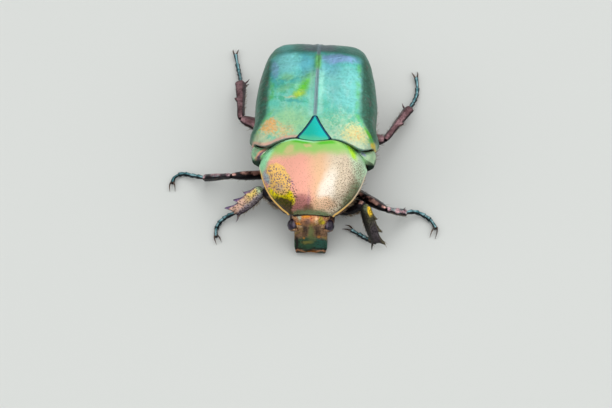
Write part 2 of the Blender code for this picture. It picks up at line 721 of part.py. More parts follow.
def face_relief(x, down, width):
    """The keel, the two hollows beside it, and the raised rim of the clypeus, as heights in mm."""
    wide = np.abs(x)
    keel = 0.09 * bell(wide, 0.0, 0.18) * bell(down, 1.5, 0.7)
    hollows = 0.16 * bell(wide, 0.56, 0.28) * bell(down, 1.6, 0.5)
    disc = 0.12 * bell(wide, 0.0, 0.8) * ramp(2.1, 2.7, down) * ramp(3.8, 3.4, down)
    sides = 0.09 * bell(wide, width - 0.05, 0.15) * ramp(1.9, 2.5, down)
    edge = 0.10 * bell(down, 3.7, 0.14)
    return keel - hollows - disc + sides + edge


def make_head(face):
    """The head capsule and the clypeus, with the notch in its front edge."""
    table = np.array(HEAD_STATIONS)
    rings = []
    for down in np.linspace(table[0, 0], table[-1, 0], HEAD_RINGS):
        width, rise, depth, power = (smooth(table[:, [0, i]], down) for i in (1, 2, 3, 4))
        angle = np.arange(HEAD_SIDES) * 2 * math.pi / HEAD_SIDES
        cos, sin = np.cos(angle), np.sin(angle)
        x = width * np.sign(cos) * np.abs(cos) ** (2 / power)
        z = (rise - depth) / 2 + (rise + depth) / 2 * np.sign(sin) * np.abs(sin) ** (2 / power)
        z = z + face_relief(x, down, width) * ramp(-0.2, 0.5, sin)
        notch = CLYPEUS_NOTCH * np.exp(-((x / CLYPEUS_NOTCH_HALF_WIDTH) ** 2))
        end = max(0.0, (down - 3.2) / (table[-1, 0] - 3.2))
        y = -down + notch * end ** 2 + 0.06 * (x / width) ** 4 * end
        rings.append(np.stack([x, y, z], 1) * MM)
    return loft("head", rings, "head_bronze", face)


def make_eyes(face):
    """The two eyes at the sides of the head."""
    x, y, z = EYE_PLACE
    return [
        ellipsoid(f"eye_{name}", (side * x, y, z), EYE_RADII, (1, 0, 0), "eye_black", face, 10, 12)
        for side, name in ((1, "left"), (-1, "right"))
    ]


def make_mouthparts(face):
    """The labrum, the lump of jaws behind it and the two palps."""
    made = ellipsoid("mouthparts", MOUTH_PLACE, MOUTH_RADII, (1, 0, 0), "mouth_amber", face)
    pieces = [ellipsoid("labrum", LABRUM_PLACE, LABRUM_RADII, (1, 0, 0), "mouth_amber", face)]
    radii = np.array([0.2, 0.25, 0.25, 0.22, 0.1]) * MM
    for side in (1, -1):
        path = even_path(np.array(PALP_PATH) * (side, 1, 1) * MM, len(radii))
        pieces.append(limb("palp", path, ACROSS, radii, radii, "mouth_amber", face, 6))
    fuse(made, pieces)
    return made


def make_antennae(face):
    """The feelers, folded back under the head, each with a club of three leaves."""
    radii = np.array([0.25, 0.29, 0.25, 0.25, 0.25, 0.26, 0.24]) * MM
    made = []
    for side, name in ((1, "left"), (-1, "right")):
        stalk = even_path(np.array(ANTENNA_PATH) * (side, 1, 1) * MM, len(radii))
        antenna = limb(f"antenna_{name}", stalk, OUT_OF_FACE, radii, radii, "feeler_dark", face, 8)
        end = np.array(ANTENNA_PATH[-1]) * (side, 1, 1)
        middle = np.array(CLUB_WAY) * (side, 1, 1)
        leaves = []
        for turn in (-CLUB_SPREAD, 0.0, CLUB_SPREAD):
            way = middle + turn * np.array(CLUB_FAN) * (side, 1, 1)
            way /= np.linalg.norm(way)
            path = end + np.outer(np.array([-0.15, 0.2, 0.6, 1.0, 1.15]), way)
            broad = np.array([0.2, 0.3, 0.4, 0.3, 0.12]) * MM
            thin = np.array([0.12, 0.14, 0.15, 0.14, 0.08]) * MM
            leaves.append(limb("leaf", path * MM, np.cross(way, CLUB_FAN), broad, thin, "feeler_dark", face, 6))
        fuse(antenna, leaves)
        made.append(antenna)
    return made


def bend_direction(pose):
    """The direction in which the outer edge of a tibia faces, away from the fold of the knee."""
    hip, knee, ankle = (np.array(p) for p in (pose.hip, pose.knee, pose.ankle))
    thigh = (knee - hip) / np.linalg.norm(knee - hip)
    shin = (ankle - knee) / np.linalg.norm(ankle - knee)
    outer = thigh - shin * np.dot(thigh, shin)
    return outer / np.linalg.norm(outer)


def make_femur(name, pose, build, ground):
    """The thigh, a flattened spindle from the hip to the knee."""
    shares = np.array([0.0, 0.07, 0.25, 0.5, 0.75, 0.92, 1.0])
    sizes = np.array([0.45, 0.72, 0.98, 1.0, 0.82, 0.62, 0.4])
    hip, knee = np.array(pose.hip), np.array(pose.knee)
    path = hip + np.outer(shares, knee - hip)
    broad, thin = build.femur
    return limb(
        f"{name}_femur", path * MM, bend_direction(pose), sizes * broad * MM,
        np.minimum(sizes * 1.15, 1.0) * thin * MM, "leg_bronze", ground,
    )


def make_tibia(name, pose, build, ground):
    """The shin, which widens to its end, with its teeth and spurs; also its plain form without them."""
    shares = np.array(SHIN_PLACES)
    sizes = np.array(build.shin_profile)
    knee, ankle = np.array(pose.knee), np.array(pose.ankle)
    shin = ankle - knee
    outer = bend_direction(pose)
    broad, thin = build.tibia
    path = (knee + np.outer(shares, shin)) * MM
    widths = sizes * broad * MM
    depths = np.minimum(sizes * 1.2, 1.0) * thin * MM
    tibia = limb(f"{name}_tibia", path, outer, widths, depths, "leg_bronze", ground)
    plain = limb("plain", path, outer, widths, depths, "leg_bronze", ground)
    heading = shin / np.linalg.norm(shin)
    side = np.cross(heading, outer)
    pieces = []
    for share, tooth in build.teeth:
        wide = smooth(np.stack([shares, sizes], 1), share) * broad
        root = knee + shin * (share - 0.08) + outer * wide * 0.45
        tip = knee + shin * share + outer * (wide + tooth * 0.8) + heading * tooth * (0.4 + 0.4 * share)
        pieces.append(spike(root * MM, tip * MM, (0.12 + 0.22 * tooth) * MM, "leg_bronze", ground))
    for i in range(build.spurs):
        sway = 0.0 if build.spurs == 1 else (i - 0.5) * 0.5
        root = knee + shin * 0.9 - outer * sizes[-2] * broad * 0.5 + side * sway * thin
        tip = ankle + heading * 0.45 - outer * (build.spur_drop - 0.12 * i) + side * sway
        pieces.append(spike(root * MM, tip * MM, 0.15 * MM, "leg_bronze", ground))
    fuse(tibia, pieces)
    set_down(tibia, SPUR_CLEARANCE)
    return tibia, plain


def tarsus_profile(segments):
    """Shares of the foot's length and of its radius, where each segment widens to its end."""
    lengths = np.array([1.15, 0.85, 0.85, 0.85, 1.5])[:segments]
    starts = np.concatenate([[0], np.cumsum(lengths)]) / lengths.sum()
    shares, sizes = [], []
    for start, end in zip(starts, starts[1:]):
        for part, size in ((0.02, TARSUS_NECK), (0.7, 1.0), (0.96, 0.98)):
            shares.append(start + part * (end - start))
            sizes.append(size)
    return np.array(shares), np.array(sizes)


def make_tarsus(name, pose, plain_tibia, ground):
    """The foot of five segments with two claws, standing on small flats."""
    shares, sizes = tarsus_profile(5)
    points = np.array((pose.ankle, *pose.toes))
    fine = even_path(points, 60)
    at = shares * (len(fine) - 1)
    path = np.stack([np.interp(at, np.arange(len(fine)), axis) for axis in fine.T], 1)
    radii = sizes * TARSUS_RADIUS
    tarsus = limb(f"{name}_tarsus", path * MM, np.array((0.0, 0.0, 1.0)), radii, radii, "leg_bronze", ground,
                  TARSUS_SIDES)
    end = path[-1]
    heading = np.array(pose.claws) - end
    length = np.linalg.norm(heading)
    heading = heading / length
    side = np.cross(heading, (0.0, 0.0, 1.0))
    claws = []
    for sign in (1, -1):
        root = end - heading * 0.2 + side * sign * 0.06
        tip = end + heading * length + side * sign * 0.24
        claws.append(
            spike(root * MM, tip * MM, 0.13 * MM, "leg_bronze", ground, 6, np.array((0.0, 0.0, 0.12 * MM)))
        )
    fuse(tarsus, claws)
    set_down(tarsus, 0.0)
    cut_clear(tarsus, [plain_tibia])
    bpy.data.objects.remove(plain_tibia, do_unlink=True)
    return tarsus


def set_down(obj, lowest):
    """Flattens what would sink below a height above the ground."""
    for vertex in obj.data.vertices:
        vertex.co.z = max(vertex.co.z, lowest)


def make_legs(ground):
    """The six legs, each as coxa, femur, tibia and tarsus, with the upper joints not yet parted."""
    legs = {}
    for name, pose in LEG_POSES.items():
        build = LEG_BUILDS[name.split("_")[0]]
        along = np.array(pose.hip) - np.array(pose.coxa)
        coxa = ellipsoid(f"{name}_coxa", pose.coxa, build.coxa_radii, along, "under_bronze", ground)
        femur = make_femur(name, pose, build, ground)
        tibia, plain = make_tibia(name, pose, build, ground)
        make_tarsus(name, pose, plain, ground)
        legs[name] = (coxa, femur, tibia)
    return legs


def part_joints(legs):
    """Parts each femur from its coxa, and each tibia from its femur."""
    for coxa, femur, tibia in legs.values():
        cut_clear(tibia, [femur])
        cut_clear(femur, [coxa])


def centre_on_ground(root):
    """Moves the whole so that the middle of its footprint is at the origin and its feet are at z = 0."""
    bpy.context.view_layer.update()
    corners = np.array([
        obj.matrix_world @ vertex.co
        for obj in bpy.data.objects if obj.type == "MESH"
        for vertex in obj.data.vertices
    ])
    low, high = corners.min(axis=0), corners.max(axis=0)
    root.location = (-(low[0] + high[0]) / 2, -(low[1] + high[1]) / 2, -low[2])


def main():
    """Builds the beetle."""
    clear_scene()
    bpy.context.scene.unit_settings.scale_length = 1.0
    ground = empty("ground")
    lean = Matrix.Translation((0, 0, LEAN_HEIGHT)) @ Matrix.Rotation(LEAN, 4, "Y")
    lean = lean @ Matrix.Translation((0, 0, -LEAN_HEIGHT))
    tip = Matrix.Translation((0, 0, BODY_CLEARANCE)) @ Matrix.Rotation(NOSE_DOWN, 4, "X")
    body = empty("body", ground)
    body.matrix_local = tip @ lean
    face = empty("face", ground)
    face.matrix_local = (
        tip @ Matrix.Translation((0, -PRONOTUM_LENGTH, 4.1 * MM)) @ Matrix.Rotation(FACE_ANGLE, 4, "X")
    )

    legs = make_legs(ground)
    pronotum = make_pronotum(body)
    make_elytra(body)
    make_scutellum(body)
    mesepimera = make_mesepimera(body)
    prothorax = make_prothorax(body)
    thorax = make_thorax(body)
    abdomen = make_abdomen(body)
    make_pygidium(body)
    head = make_head(face)
    eyes = make_eyes(face)
    mouthparts = make_mouthparts(face)
    antennae = make_antennae(face)

    for piece in (mouthparts, *antennae):
        cut_clear(piece, [head])
    cut_clear(prothorax, [pronotum])
    for eye in eyes:
        cut_clear(eye, [pronotum])
    cut_clear(head, [pronotum, prothorax, *eyes])
    cut_clear(thorax, mesepimera)
    pairs = {pair: [*legs[f"{pair}_right"][:2], *legs[f"{pair}_left"][:2]] for pair in LEG_BUILDS}
    cut_clear(prothorax, pairs["fore"] + pairs["mid"])
    cut_clear(thorax, pairs["mid"] + pairs["hind"])
    cut_clear(abdomen, pairs["hind"])
    part_joints(legs)
    centre_on_ground(ground)


main()
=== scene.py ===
"""The looks of the rose chafer: fine shell plates, head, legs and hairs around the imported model."""

import logging
import math
from dataclasses import dataclass, field
from enum import Enum
from typing import Any, Callable, Iterable

import bmesh
import bpy
import numpy as np
from mathutils import Matrix, Vector


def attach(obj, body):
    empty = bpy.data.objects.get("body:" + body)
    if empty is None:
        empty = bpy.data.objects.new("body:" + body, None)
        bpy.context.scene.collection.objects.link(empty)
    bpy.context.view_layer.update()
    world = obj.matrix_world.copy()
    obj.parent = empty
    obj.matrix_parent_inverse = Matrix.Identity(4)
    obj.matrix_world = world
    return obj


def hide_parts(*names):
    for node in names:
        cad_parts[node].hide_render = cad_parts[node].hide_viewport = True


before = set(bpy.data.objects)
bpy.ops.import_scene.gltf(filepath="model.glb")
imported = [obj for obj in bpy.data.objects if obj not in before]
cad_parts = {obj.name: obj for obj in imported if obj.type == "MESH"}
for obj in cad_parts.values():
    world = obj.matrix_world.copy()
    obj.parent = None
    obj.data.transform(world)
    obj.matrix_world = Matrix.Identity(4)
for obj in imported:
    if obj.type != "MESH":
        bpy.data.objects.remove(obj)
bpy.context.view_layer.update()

LOG = logging.getLogger("rose_chafer")

# Lengths are in mm, but for ROOT_SHIFT in metres. MM turns mm into metres.
MM = 0.001
ROOT_SHIFT = Vector((0.959, -3.833, 0)) * MM
NOSE_DOWN = math.radians(8)
LEAN = math.radians(2)
LEAN_HEIGHT = 3
BODY_CLEARANCE = 0.4
FACE_ANGLE = math.radians(62)
FACE_PLACE = (0, -5.2, 4.1)
RIM_STEPS = 3
STRIDE = 4
ARCH_STEPS = 600
PLAIN = (0.0, 9.0, 9.0)
ANY_HEIGHT = 1000
SHELL_METAL = 0.85
COARSE = 1

Array = np.ndarray
Rgb = tuple[float, float, float]
Point = tuple[float, float, float]
Stations = tuple[tuple[float, float], ...]


class Side(Enum):
    """The two sides of the animal, as the sign of X in its own frame."""

    LEFT = 1
    RIGHT = -1

    @property
    def word(self) -> str:
        """The side's name in node names."""
        return self.name.lower()

    @property
    def flip(self) -> Array:
        """What a point of the left side is multiplied by to lie at this side."""
        return np.array([self.value, 1, 1])


def in_mm(x: float, y: float, z: float) -> Matrix:
    """A shift by a vector in mm."""
    return Matrix.Translation(Vector((x, y, z)) * MM)


GROUND = Matrix.Translation(ROOT_SHIFT)
TIPPED = GROUND @ in_mm(0, 0, BODY_CLEARANCE) @ Matrix.Rotation(NOSE_DOWN, 4, "X")
BODY = TIPPED @ in_mm(0, 0, LEAN_HEIGHT) @ Matrix.Rotation(LEAN, 4, "Y") @ in_mm(0, 0, -LEAN_HEIGHT)
FACE = TIPPED @ in_mm(*FACE_PLACE) @ Matrix.Rotation(FACE_ANGLE, 4, "X")


# Curves, grids and fields, all in mm.


def smooth(stations: Any, at: Any) -> Any:
    """Reads the smooth curve through (place, value) stations.

    Args:
        stations: Pairs of place and value, in order.
        at: One place, or an array of them.

    Returns:
        The value at each place.
    """
    places, values = np.array(stations, float).T
    slopes = np.gradient(values, places)
    at = np.clip(at, places[0], places[-1])
    low = np.clip(np.searchsorted(places, at, side="right") - 1, 0, len(places) - 2)
    step = places[low + 1] - places[low]
    t = (at - places[low]) / step
    near = (1 + 2 * t) * values[low] + t * step * slopes[low]
    far = (3 - 2 * t) * values[low + 1] + (t - 1) * step * slopes[low + 1]
    return (1 - t) ** 2 * near + t ** 2 * far


def arch(width: float, top: float, edge: float, power: float, shares: Any, start: float = 0.0) -> tuple:
    """Points of a rounded arch.

    Args:
        width: Half the width, where the arch ends.
        top: Height in the middle.
        edge: Height at the side edge.
        power: Squareness, where 2 is an ellipse.
        shares: Shares of the way along the arch.
        start: Distance from the middle at which the way begins.

    Returns:
        The distances from the middle and the heights.
    """
    angle = np.linspace(0, math.pi / 2, ARCH_STEPS)
    x = width * np.sin(angle) ** (2 / power)
    z = edge + (top - edge) * np.cos(angle) ** (2 / power)
    way = np.concatenate([[0], np.cumsum(np.hypot(np.diff(x), np.diff(z)))])
    first = np.interp(start, x, way)
    at = first + np.asarray(shares) * (way[-1] - first)
    return np.interp(at, way, x), np.interp(at, way, z)


def unit(vectors: Array) -> Array:
    """The vectors at length one."""
    return vectors / np.maximum(np.linalg.norm(vectors, axis=-1, keepdims=True), 1e-12)


def normals_of(grid: Array) -> Array:
    """Unit normals of a grid of points."""
    return unit(np.cross(np.gradient(grid, axis=1), np.gradient(grid, axis=0)))


def upward(grid: Array) -> Array:
    """Unit normals of a grid, turned away from its middle."""
    normal = normals_of(grid)
    return normal if np.sum(normal * (grid - grid.reshape(-1, 3).mean(axis=0))) > 0 else -normal


def ways(grid: Array, axis: int) -> Array:
    """The distance of each point of a grid from the start of its line along an axis."""
    steps = np.linalg.norm(np.diff(grid, axis=axis), axis=2)
    return np.insert(np.cumsum(steps, axis=axis), 0, 0, axis=axis)


def padded(grid: Array) -> Array:
    """A grid with its border repeated, as far as a rim reaches."""
    return np.pad(grid, ((RIM_STEPS, RIM_STEPS), (RIM_STEPS, RIM_STEPS), (0, 0)), mode="edge")


def coarse(grid: Array) -> Array:
    """The points of a grid that an inner face meets."""
    return grid[::STRIDE, ::STRIDE]


def fitted(count: int) -> int:
    """About a count of points, such that they and their rim fit whole strides."""
    return count // COARSE // STRIDE * STRIDE + 1 - 2 * RIM_STEPS


def turns(count: int) -> Array:
    """Angles evenly round a circle."""
    return np.arange(count) * 2 * math.pi / count


def step_between(low: float, high: float, at: Array) -> Array:
    """A soft step from 0 at low to 1 at high."""
    t = np.clip((at - low) / (high - low), 0, 1)
    return t * t * (3 - 2 * t)


def bump_at(at: Array, place: float, reach: float) -> Array:
    """A bell of height one at a place."""
    return np.exp(-(((at - place) / reach) ** 2))


def lottery(u: Array, v: Array, seed: float) -> Array:
    """A number from 0 to 1 for each cell (u, v), the same on each run."""
    return np.mod(np.sin(u * 127.1 + v * 311.7 + seed * 74.7) * 43758.5453, 1)


def pits(u: Array, v: Array, spacing: float, radius: float, chance: Any, seed: float) -> Array:
    """Round pits scattered over a surface.

    Args:
        u: First surface coordinate in mm.
        v: Second surface coordinate in mm.
        spacing: Distance between the cells that may hold a pit.
        radius: Radius of a middling pit.
        chance: Share of the cells that hold one, which may vary over the surface.
        seed: Which scattering this is.

    Returns:
        The depth at each point, from 0 to 1.
    """
    depth = np.zeros_like(u)
    cell_u, cell_v = np.floor(u / spacing), np.floor(v / spacing)
    for du in (-1, 0, 1):
        for dv in (-1, 0, 1):
            cu, cv = cell_u + du, cell_v + dv
            at_u = (cu + 0.5 + 0.7 * (lottery(cu, cv, seed) - 0.5)) * spacing
            at_v = (cv + 0.5 + 0.7 * (lottery(cu, cv, seed + 1) - 0.5)) * spacing
            size = radius * (0.7 + 0.6 * lottery(cu, cv, seed + 2))
            away = ((u - at_u) ** 2 + (v - at_v) ** 2) / size ** 2
            held = lottery(cu, cv, seed + 3) < chance
            depth = np.maximum(depth, held * np.clip(1 - away, 0, 1) ** 0.8)
    return depth


def even_path(points: Any, count: int) -> Array:
    """Evenly spaced points on a smooth curve.

    Args:
        points: A few points that it passes through.
        count: How many points are wanted.

    Returns:
        The new points.
    """
    points = np.asarray(points, float)
    way = np.concatenate([[0], np.cumsum(np.linalg.norm(np.diff(points, axis=0), axis=1))])
    at = np.linspace(0, way[-1], count)
    return np.stack([smooth(np.stack([way, axis], 1), at) for axis in points.T], 1)


def rolled(grid: Array, radius: float) -> Array:
    """Adds a rounded rim all round a grid.

    Args:
        grid: Points of the surface.
        radius: Radius of the rounding.

    Returns:
        The grid with its rim, larger by RIM_STEPS on each of its four sides.
    """
    rows, columns = grid.shape[:2]
    i, j = np.arange(rows + 2 * RIM_STEPS), np.arange(columns + 2 * RIM_STEPS)
    over_i = np.maximum(i - (rows - 1 + RIM_STEPS), 0) - np.maximum(RIM_STEPS - i, 0)
    over_j = np.maximum(j - (columns - 1 + RIM_STEPS), 0) - np.maximum(RIM_STEPS - j, 0)
    down, right = (padded(unit(np.gradient(grid, axis=axis))) for axis in (0, 1))
    out = unit(over_i[:, None, None] * down + over_j[None, :, None] * right)
    turn = np.minimum(np.hypot(over_i[:, None], over_j[None, :]) / RIM_STEPS, 1)[..., None] * math.pi / 2
    return padded(grid) + radius * (np.sin(turn) * out - (1 - np.cos(turn)) * padded(upward(grid)))


def shell(plain: Array, rise: Array, radius: float, thickness: float) -> tuple[Array, Array]:
    """The two faces of a curved plate.

    Args:
        plain: Its surface.
        rise: The height of its relief at each point.
        radius: Radius of its rounded rim.
        thickness: How thick it is.

    Returns:
        The outer face with its rim, and the coarser inner face.
    """
    outer = rolled(plain + upward(plain) * rise[..., None], radius)
    return outer, coarse(outer) - coarse(padded(upward(plain))) * (thickness - radius)


def edge_marks(grid: Array, pitted: Array, both: bool) -> Array:
    """The marks of a plate, padded for its rim.

    Args:
        grid: Its surface before the rim is added.
        pitted: Depth of the pits over it.
        both: Whether both of its sides are free edges, or only the last column.

    Returns:
        For each point, the pits and the distances from the free side edge and the last row or the first.
    """
    way, run = ways(grid, 1), ways(grid, 0)
    side = np.minimum(way, way[:, -1:] - way) if both else way[:, -1:] - way
    return padded(np.stack([pitted, side, run[-1:] - run if both else run], -1))


@dataclass
class Shape:
    """Points and faces of one piece, gathered from grids, tubes and plates, in mm."""

    points: list = field(default_factory=list)
    faces: list = field(default_factory=list)
    marks: list = field(default_factory=list)
    count: int = 0

    def add(self, points: Array, faces: Iterable, marks: Any = PLAIN) -> None:
        """Adds points and faces.

        Args:
            points: Any number of points.
            faces: Tuples of indices into these points.
            marks: For each point, the depth of its pits and its distances from two edges.
        """
        points = np.asarray(points, float).reshape(-1, 3)
        start = self.count
        self.points.append(points)
        self.marks.append(np.broadcast_to(marks, points.shape).astype(float))
        self.faces.extend(tuple(start + i for i in face) for face in faces)
        self.count += len(points)

    def add_plate(self, outer: Array, inner: Array, marks: Any = PLAIN) -> None:
        """Adds a closed plate between a fine outer grid and a coarser inner one.

        Args:
            outer: Points of the outer face.
            inner: Points of the inner face, one for each stride of the outer ones.
            marks: The marks over the outer face.
        """
        outside = np.arange(outer[..., 0].size).reshape(outer.shape[:2])
        inside = outside.size + np.arange(inner[..., 0].size).reshape(inner.shape[:2])
        faces = quads(outside) + [face[::-1] for face in quads(inside)]
        wall, back = rim(outside), rim(inside)
        for k in range(len(back)):
            run = [wall[(k * STRIDE + s) % len(wall)] for s in range(STRIDE + 1)]
            faces.append((back[k], *run, back[(k + 1) % len(back)]))
        marks = np.broadcast_to(marks, outer.shape)
        both = np.concatenate([outer.reshape(-1, 3), inner.reshape(-1, 3)])
        self.add(both, faces, np.concatenate([marks.reshape(-1, 3), coarse(marks).reshape(-1, 3)]))

    def add_tube(self, rings: Array, pitted: Any = None) -> None:
        """Adds a closed tube through rings of equal numbers of points, with a fan at each end.

        Args:
            rings: The rings, from one end to the other.
            pitted: Depth of the pits at each point.
        """
        rings = np.asarray(rings, float)
        count, sides = rings.shape[:2]
        ids = np.arange(count * sides).reshape(count, sides)
        turned = np.roll(ids, -1, axis=1)
        faces = np.stack([ids[:-1], turned[:-1], turned[1:], ids[1:]], -1).reshape(-1, 4).tolist()
        first, last = count * sides, count * sides + 1
        faces += [(first, turned[0, i], ids[0, i]) for i in range(sides)]
        faces += [(last, ids[-1, i], turned[-1, i]) for i in range(sides)]
        ends = np.stack([rings[0].mean(axis=0), rings[-1].mean(axis=0)])
        marks = np.tile(PLAIN, (count * sides + 2, 1))
        if pitted is not None:
            marks[:-2, 0] = np.ravel(pitted)
        self.add(np.concatenate([rings.reshape(-1, 3), ends]), faces, marks)

    def make(self, name: str, place: Matrix, finish: "Finish", slot: str, nodes: Iterable[str]) -> Any:
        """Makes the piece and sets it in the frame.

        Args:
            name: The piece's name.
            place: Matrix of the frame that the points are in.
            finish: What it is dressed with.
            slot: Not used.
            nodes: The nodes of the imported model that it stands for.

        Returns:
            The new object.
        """
        data = bpy.data.meshes.new(name)
        points, turn = np.concatenate(self.points), np.array(place)
        data.from_pydata((points * MM @ turn[:3, :3].T + turn[:3, 3]).tolist(), [], self.faces)
        for word, values in (("place", points), ("marks", np.concatenate(self.marks))):
            kept = data.attributes.new(word, "FLOAT_VECTOR", "POINT")
            kept.data.foreach_set("vector", values.astype(np.float32).ravel())
        tidy = bmesh.new()
        tidy.from_mesh(data)
        bmesh.ops.recalc_face_normals(tidy, faces=tidy.faces)
        tidy.to_mesh(data)
        tidy.free()
        data.shade_smooth()
        data.set_sharp_from_angle(angle=math.radians(60))
        data.materials.append(finish.material())
        piece = bpy.data.objects.new(name, data)
        bpy.context.scene.collection.objects.link(piece)
        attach(piece, "root")
        for node in nodes:
            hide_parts(node)
        LOG.info("%s: %d faces", name, len(data.polygons))
        return piece


def quads(ids: Array) -> list:
    """The faces between the neighbours of a grid of indices."""
    return np.stack([ids[:-1, :-1], ids[:-1, 1:], ids[1:, 1:], ids[1:, :-1]], -1).reshape(-1, 4).tolist()


def rim(ids: Array) -> list:
    """The indices round the border of a grid, in order."""
    return [*ids[0], *ids[1:-1, -1], *ids[-1][::-1], *ids[1:-1, 0][::-1]]


def tube_rings(
    path: Array, outer: Array, broad: Array, thin: Array, sides: int, shape: Callable | None = None
) -> Array:
    """Rings of a tube along a path.

    Args:
        path: Points along the middle.
        outer: Direction in which the section is broad, one for all or one for each point.
        broad: Half width of the section in that direction, at each point.
        thin: Half width across it.
        sides: Points in each ring.
        shape: Takes the angles and the place along the tube, and gives factors on the two half widths.

    Returns:
        The rings.
    """
    headings, outer = unit(np.gradient(path, axis=0)), np.broadcast_to(outer, path.shape)
    out = unit(outer - headings * np.sum(outer * headings, axis=1, keepdims=True))
    side = np.cross(headings, out)
    angle = turns(sides)
    rings = np.empty((len(path), sides, 3))
    for k in range(len(path)):
        wide, flat = shape(angle, k / (len(path) - 1)) if shape else (1, 1)
        rings[k] = path[k] + np.outer(np.cos(angle) * broad[k] * wide, out[k])
        rings[k] += np.outer(np.sin(angle) * thin[k] * flat, side[k])
    return rings


def spike_rings(
    root: Any, tip: Any, radius: float, bend: Any = (0, 0, 0), sides: int = 8, rings: int = 7
) -> Array:
    """Rings of a tapered spike.

    Args:
        root: Where it starts.
        tip: Where it ends.
        radius: Its radius at the root.
        bend: How far its middle is bowed.
        sides: Points in each ring.
        rings: How many rings there are.

    Returns:
        The rings.
    """
    root, tip, bend = (np.asarray(v, float) for v in (root, tip, bend))
    shares = np.linspace(0, 1, rings)
    path = root + np.outer(shares, tip - root) + np.outer(4 * shares * (1 - shares), bend)
    radii = radius * (1 - shares ** 1.6) + 0.012
    across = np.cross(tip - root, (0.31, 0.22, 1))
    return tube_rings(path, across, radii, radii, sides)


def ball_rings(centre: Any, radii: Any, along: Any = (1, 0, 0), rings: int = 24, sides: int = 32) -> Array:
    """Rings of an ellipsoid.

    Args:
        centre: Its middle.
        radii: Its three radii.
        along: The direction of the first one.
        rings: How many rings there are.
        sides: Points in each ring.

    Returns:
        The rings.
    """
    turn = np.array(Vector(along).to_track_quat("X", "Z").to_matrix())
    lat = np.linspace(0.03, math.pi - 0.03, rings)
    lon = turns(sides)
    points = np.stack([
        np.broadcast_to(-np.cos(lat)[:, None], (rings, sides)),
        np.sin(lat)[:, None] * np.cos(lon),
        np.sin(lat)[:, None] * np.sin(lon),
    ], -1)
    return np.asarray(centre) + (points * np.asarray(radii)) @ turn.T


@dataclass(frozen=True)
class HairBuild:
    """The size and lie of the hairs on one skin, in mm, and how they are scattered."""

    count: int
    length: float
    lift: float
    seed: int
    thickness: float = 0.017
    unrest: float = 0.22
    spread: float = 0.35


@dataclass
class Coat:
    """Hairs of one part of the body as thin spines of three sides, joined in one mesh.

    Each hair has a small patch of the map, at its root's place on the unrolled skin.
    """

    name: str
    patch: float = 0.003
    map_name: str = "OFBake"
    shape: Shape = field(default_factory=Shape)
    corners: list = field(default_factory=list)

    def grow(self, skin: Array, weight: Array, lie: Any, build: HairBuild, window: tuple) -> None:
        """Sets hairs on a skin.

        Args:
            skin: The rings of the skin, each one closed.
            weight: For each point of the skin, the share of the hairs that grow near it.
            lie: The direction that the hairs lean to.
            build: Their size, number and seed.
            window: The lowest and highest U and V of this skin on the map.
        """
        draw = np.random.default_rng(build.seed)
        rows, columns = skin.shape[:2]
        turned = np.roll(skin, -1, axis=1)
        area = np.linalg.norm(np.cross(turned[:-1] - skin[:-1], skin[1:] - skin[:-1]), axis=2)
        share = (area * np.broadcast_to(weight, skin.shape[:2])[:-1]).ravel()
        chosen = draw.choice(share.size, build.count, p=share / share.sum())
        i, j = np.divmod(chosen, columns)
        down, over = draw.random((2, build.count))
        here, right, below = skin[i, j], turned[i, j], skin[i + 1, j]
        root = here + down[:, None] * (below - here) + over[:, None] * (right - here)
        normal = unit(np.cross(right - here, below - here))
        outward = np.sum(normal * (root - skin[i].mean(axis=1)), axis=1)
        normal = np.where(outward[:, None] > 0, normal, -normal)
        lie = np.broadcast_to(np.asarray(lie, float), root.shape)
        flat = unit(lie - normal * np.sum(lie * normal, axis=1, keepdims=True))
        way = unit(flat + build.lift * normal + build.unrest * draw.normal(size=root.shape))
        length = build.length * (1 + build.spread * (2 * draw.random(build.count) - 1))
        self.add(root - 0.02 * normal, way, flat, length[:, None], build.thickness)
        low_u, high_u, low_v, high_v = window
        u = low_u + (j + over) / columns * (high_u - low_u)
        v = low_v + (i + down) / rows * (high_v - low_v)
        ring = np.array([(side - 1, step) for step in (0, 1, 2) for side in (0, 1, 2)] + [(0, 3)]) / (2, 3)
        self.corners.append(np.stack([u, v], 1)[:, None, :] + ring[None] * self.patch)

    def add(self, root: Array, way: Array, flat: Array, length: Array, thickness: float) -> None:
        """Adds the spines, each of three rings and a tip.

        Args:
            root: Where each hair starts.
            way: Where it heads.
            flat: Where it bends to.
            length: Its length.
            thickness: Half its width at the root.
        """
        one = unit(np.cross(way, (0.31, 0.22, 1)))
        other = np.cross(way, one)
        points = []
        for step, size in ((0, 1), (0.4, 0.8), (0.75, 0.5)):
            middle = root + length * (step * way + 0.25 * step ** 2 * flat)
            for side in range(3):
                turn = side * 2 * math.pi / 3
                points.append(middle + thickness * size * (math.cos(turn) * one + math.sin(turn) * other))
        points.append(root + length * (way + 0.25 * flat))
        points = np.stack(points, 1)
        points[..., 2] = np.maximum(points[..., 2], points[:, :1, 2] * 0.25)
        walls = [(k, *((k - 2, k + 1) if k % 3 == 2 else (k + 1, k + 4)), k + 3) for k in range(6)]
        tips = [(6, 7, 9), (7, 8, 9), (8, 6, 9)]
        faces = [tuple(10 * n + i for i in face) for n in range(len(points)) for face in walls + tips]
        self.shape.add(points, faces)

    def make(self, place: Matrix, slot: str) -> None:
        """Makes the piece and its map.

        Args:
            place: The frame that the hairs lie in.
            slot: Handed on to the piece's make, which does not use it.
        """
        piece = self.shape.make(self.name, place, HAIRS, slot, [])
        corners = np.concatenate([part.reshape(-1, 2) for part in self.corners])
        ids = np.zeros(len(piece.data.loops), int)
        piece.data.loops.foreach_get("vertex_index", ids)
        layer = piece.data.uv_layers.new(name=self.map_name)
        layer.data.foreach_set("uv", corners[ids].astype(np.float32).ravel())


# Shader expressions.


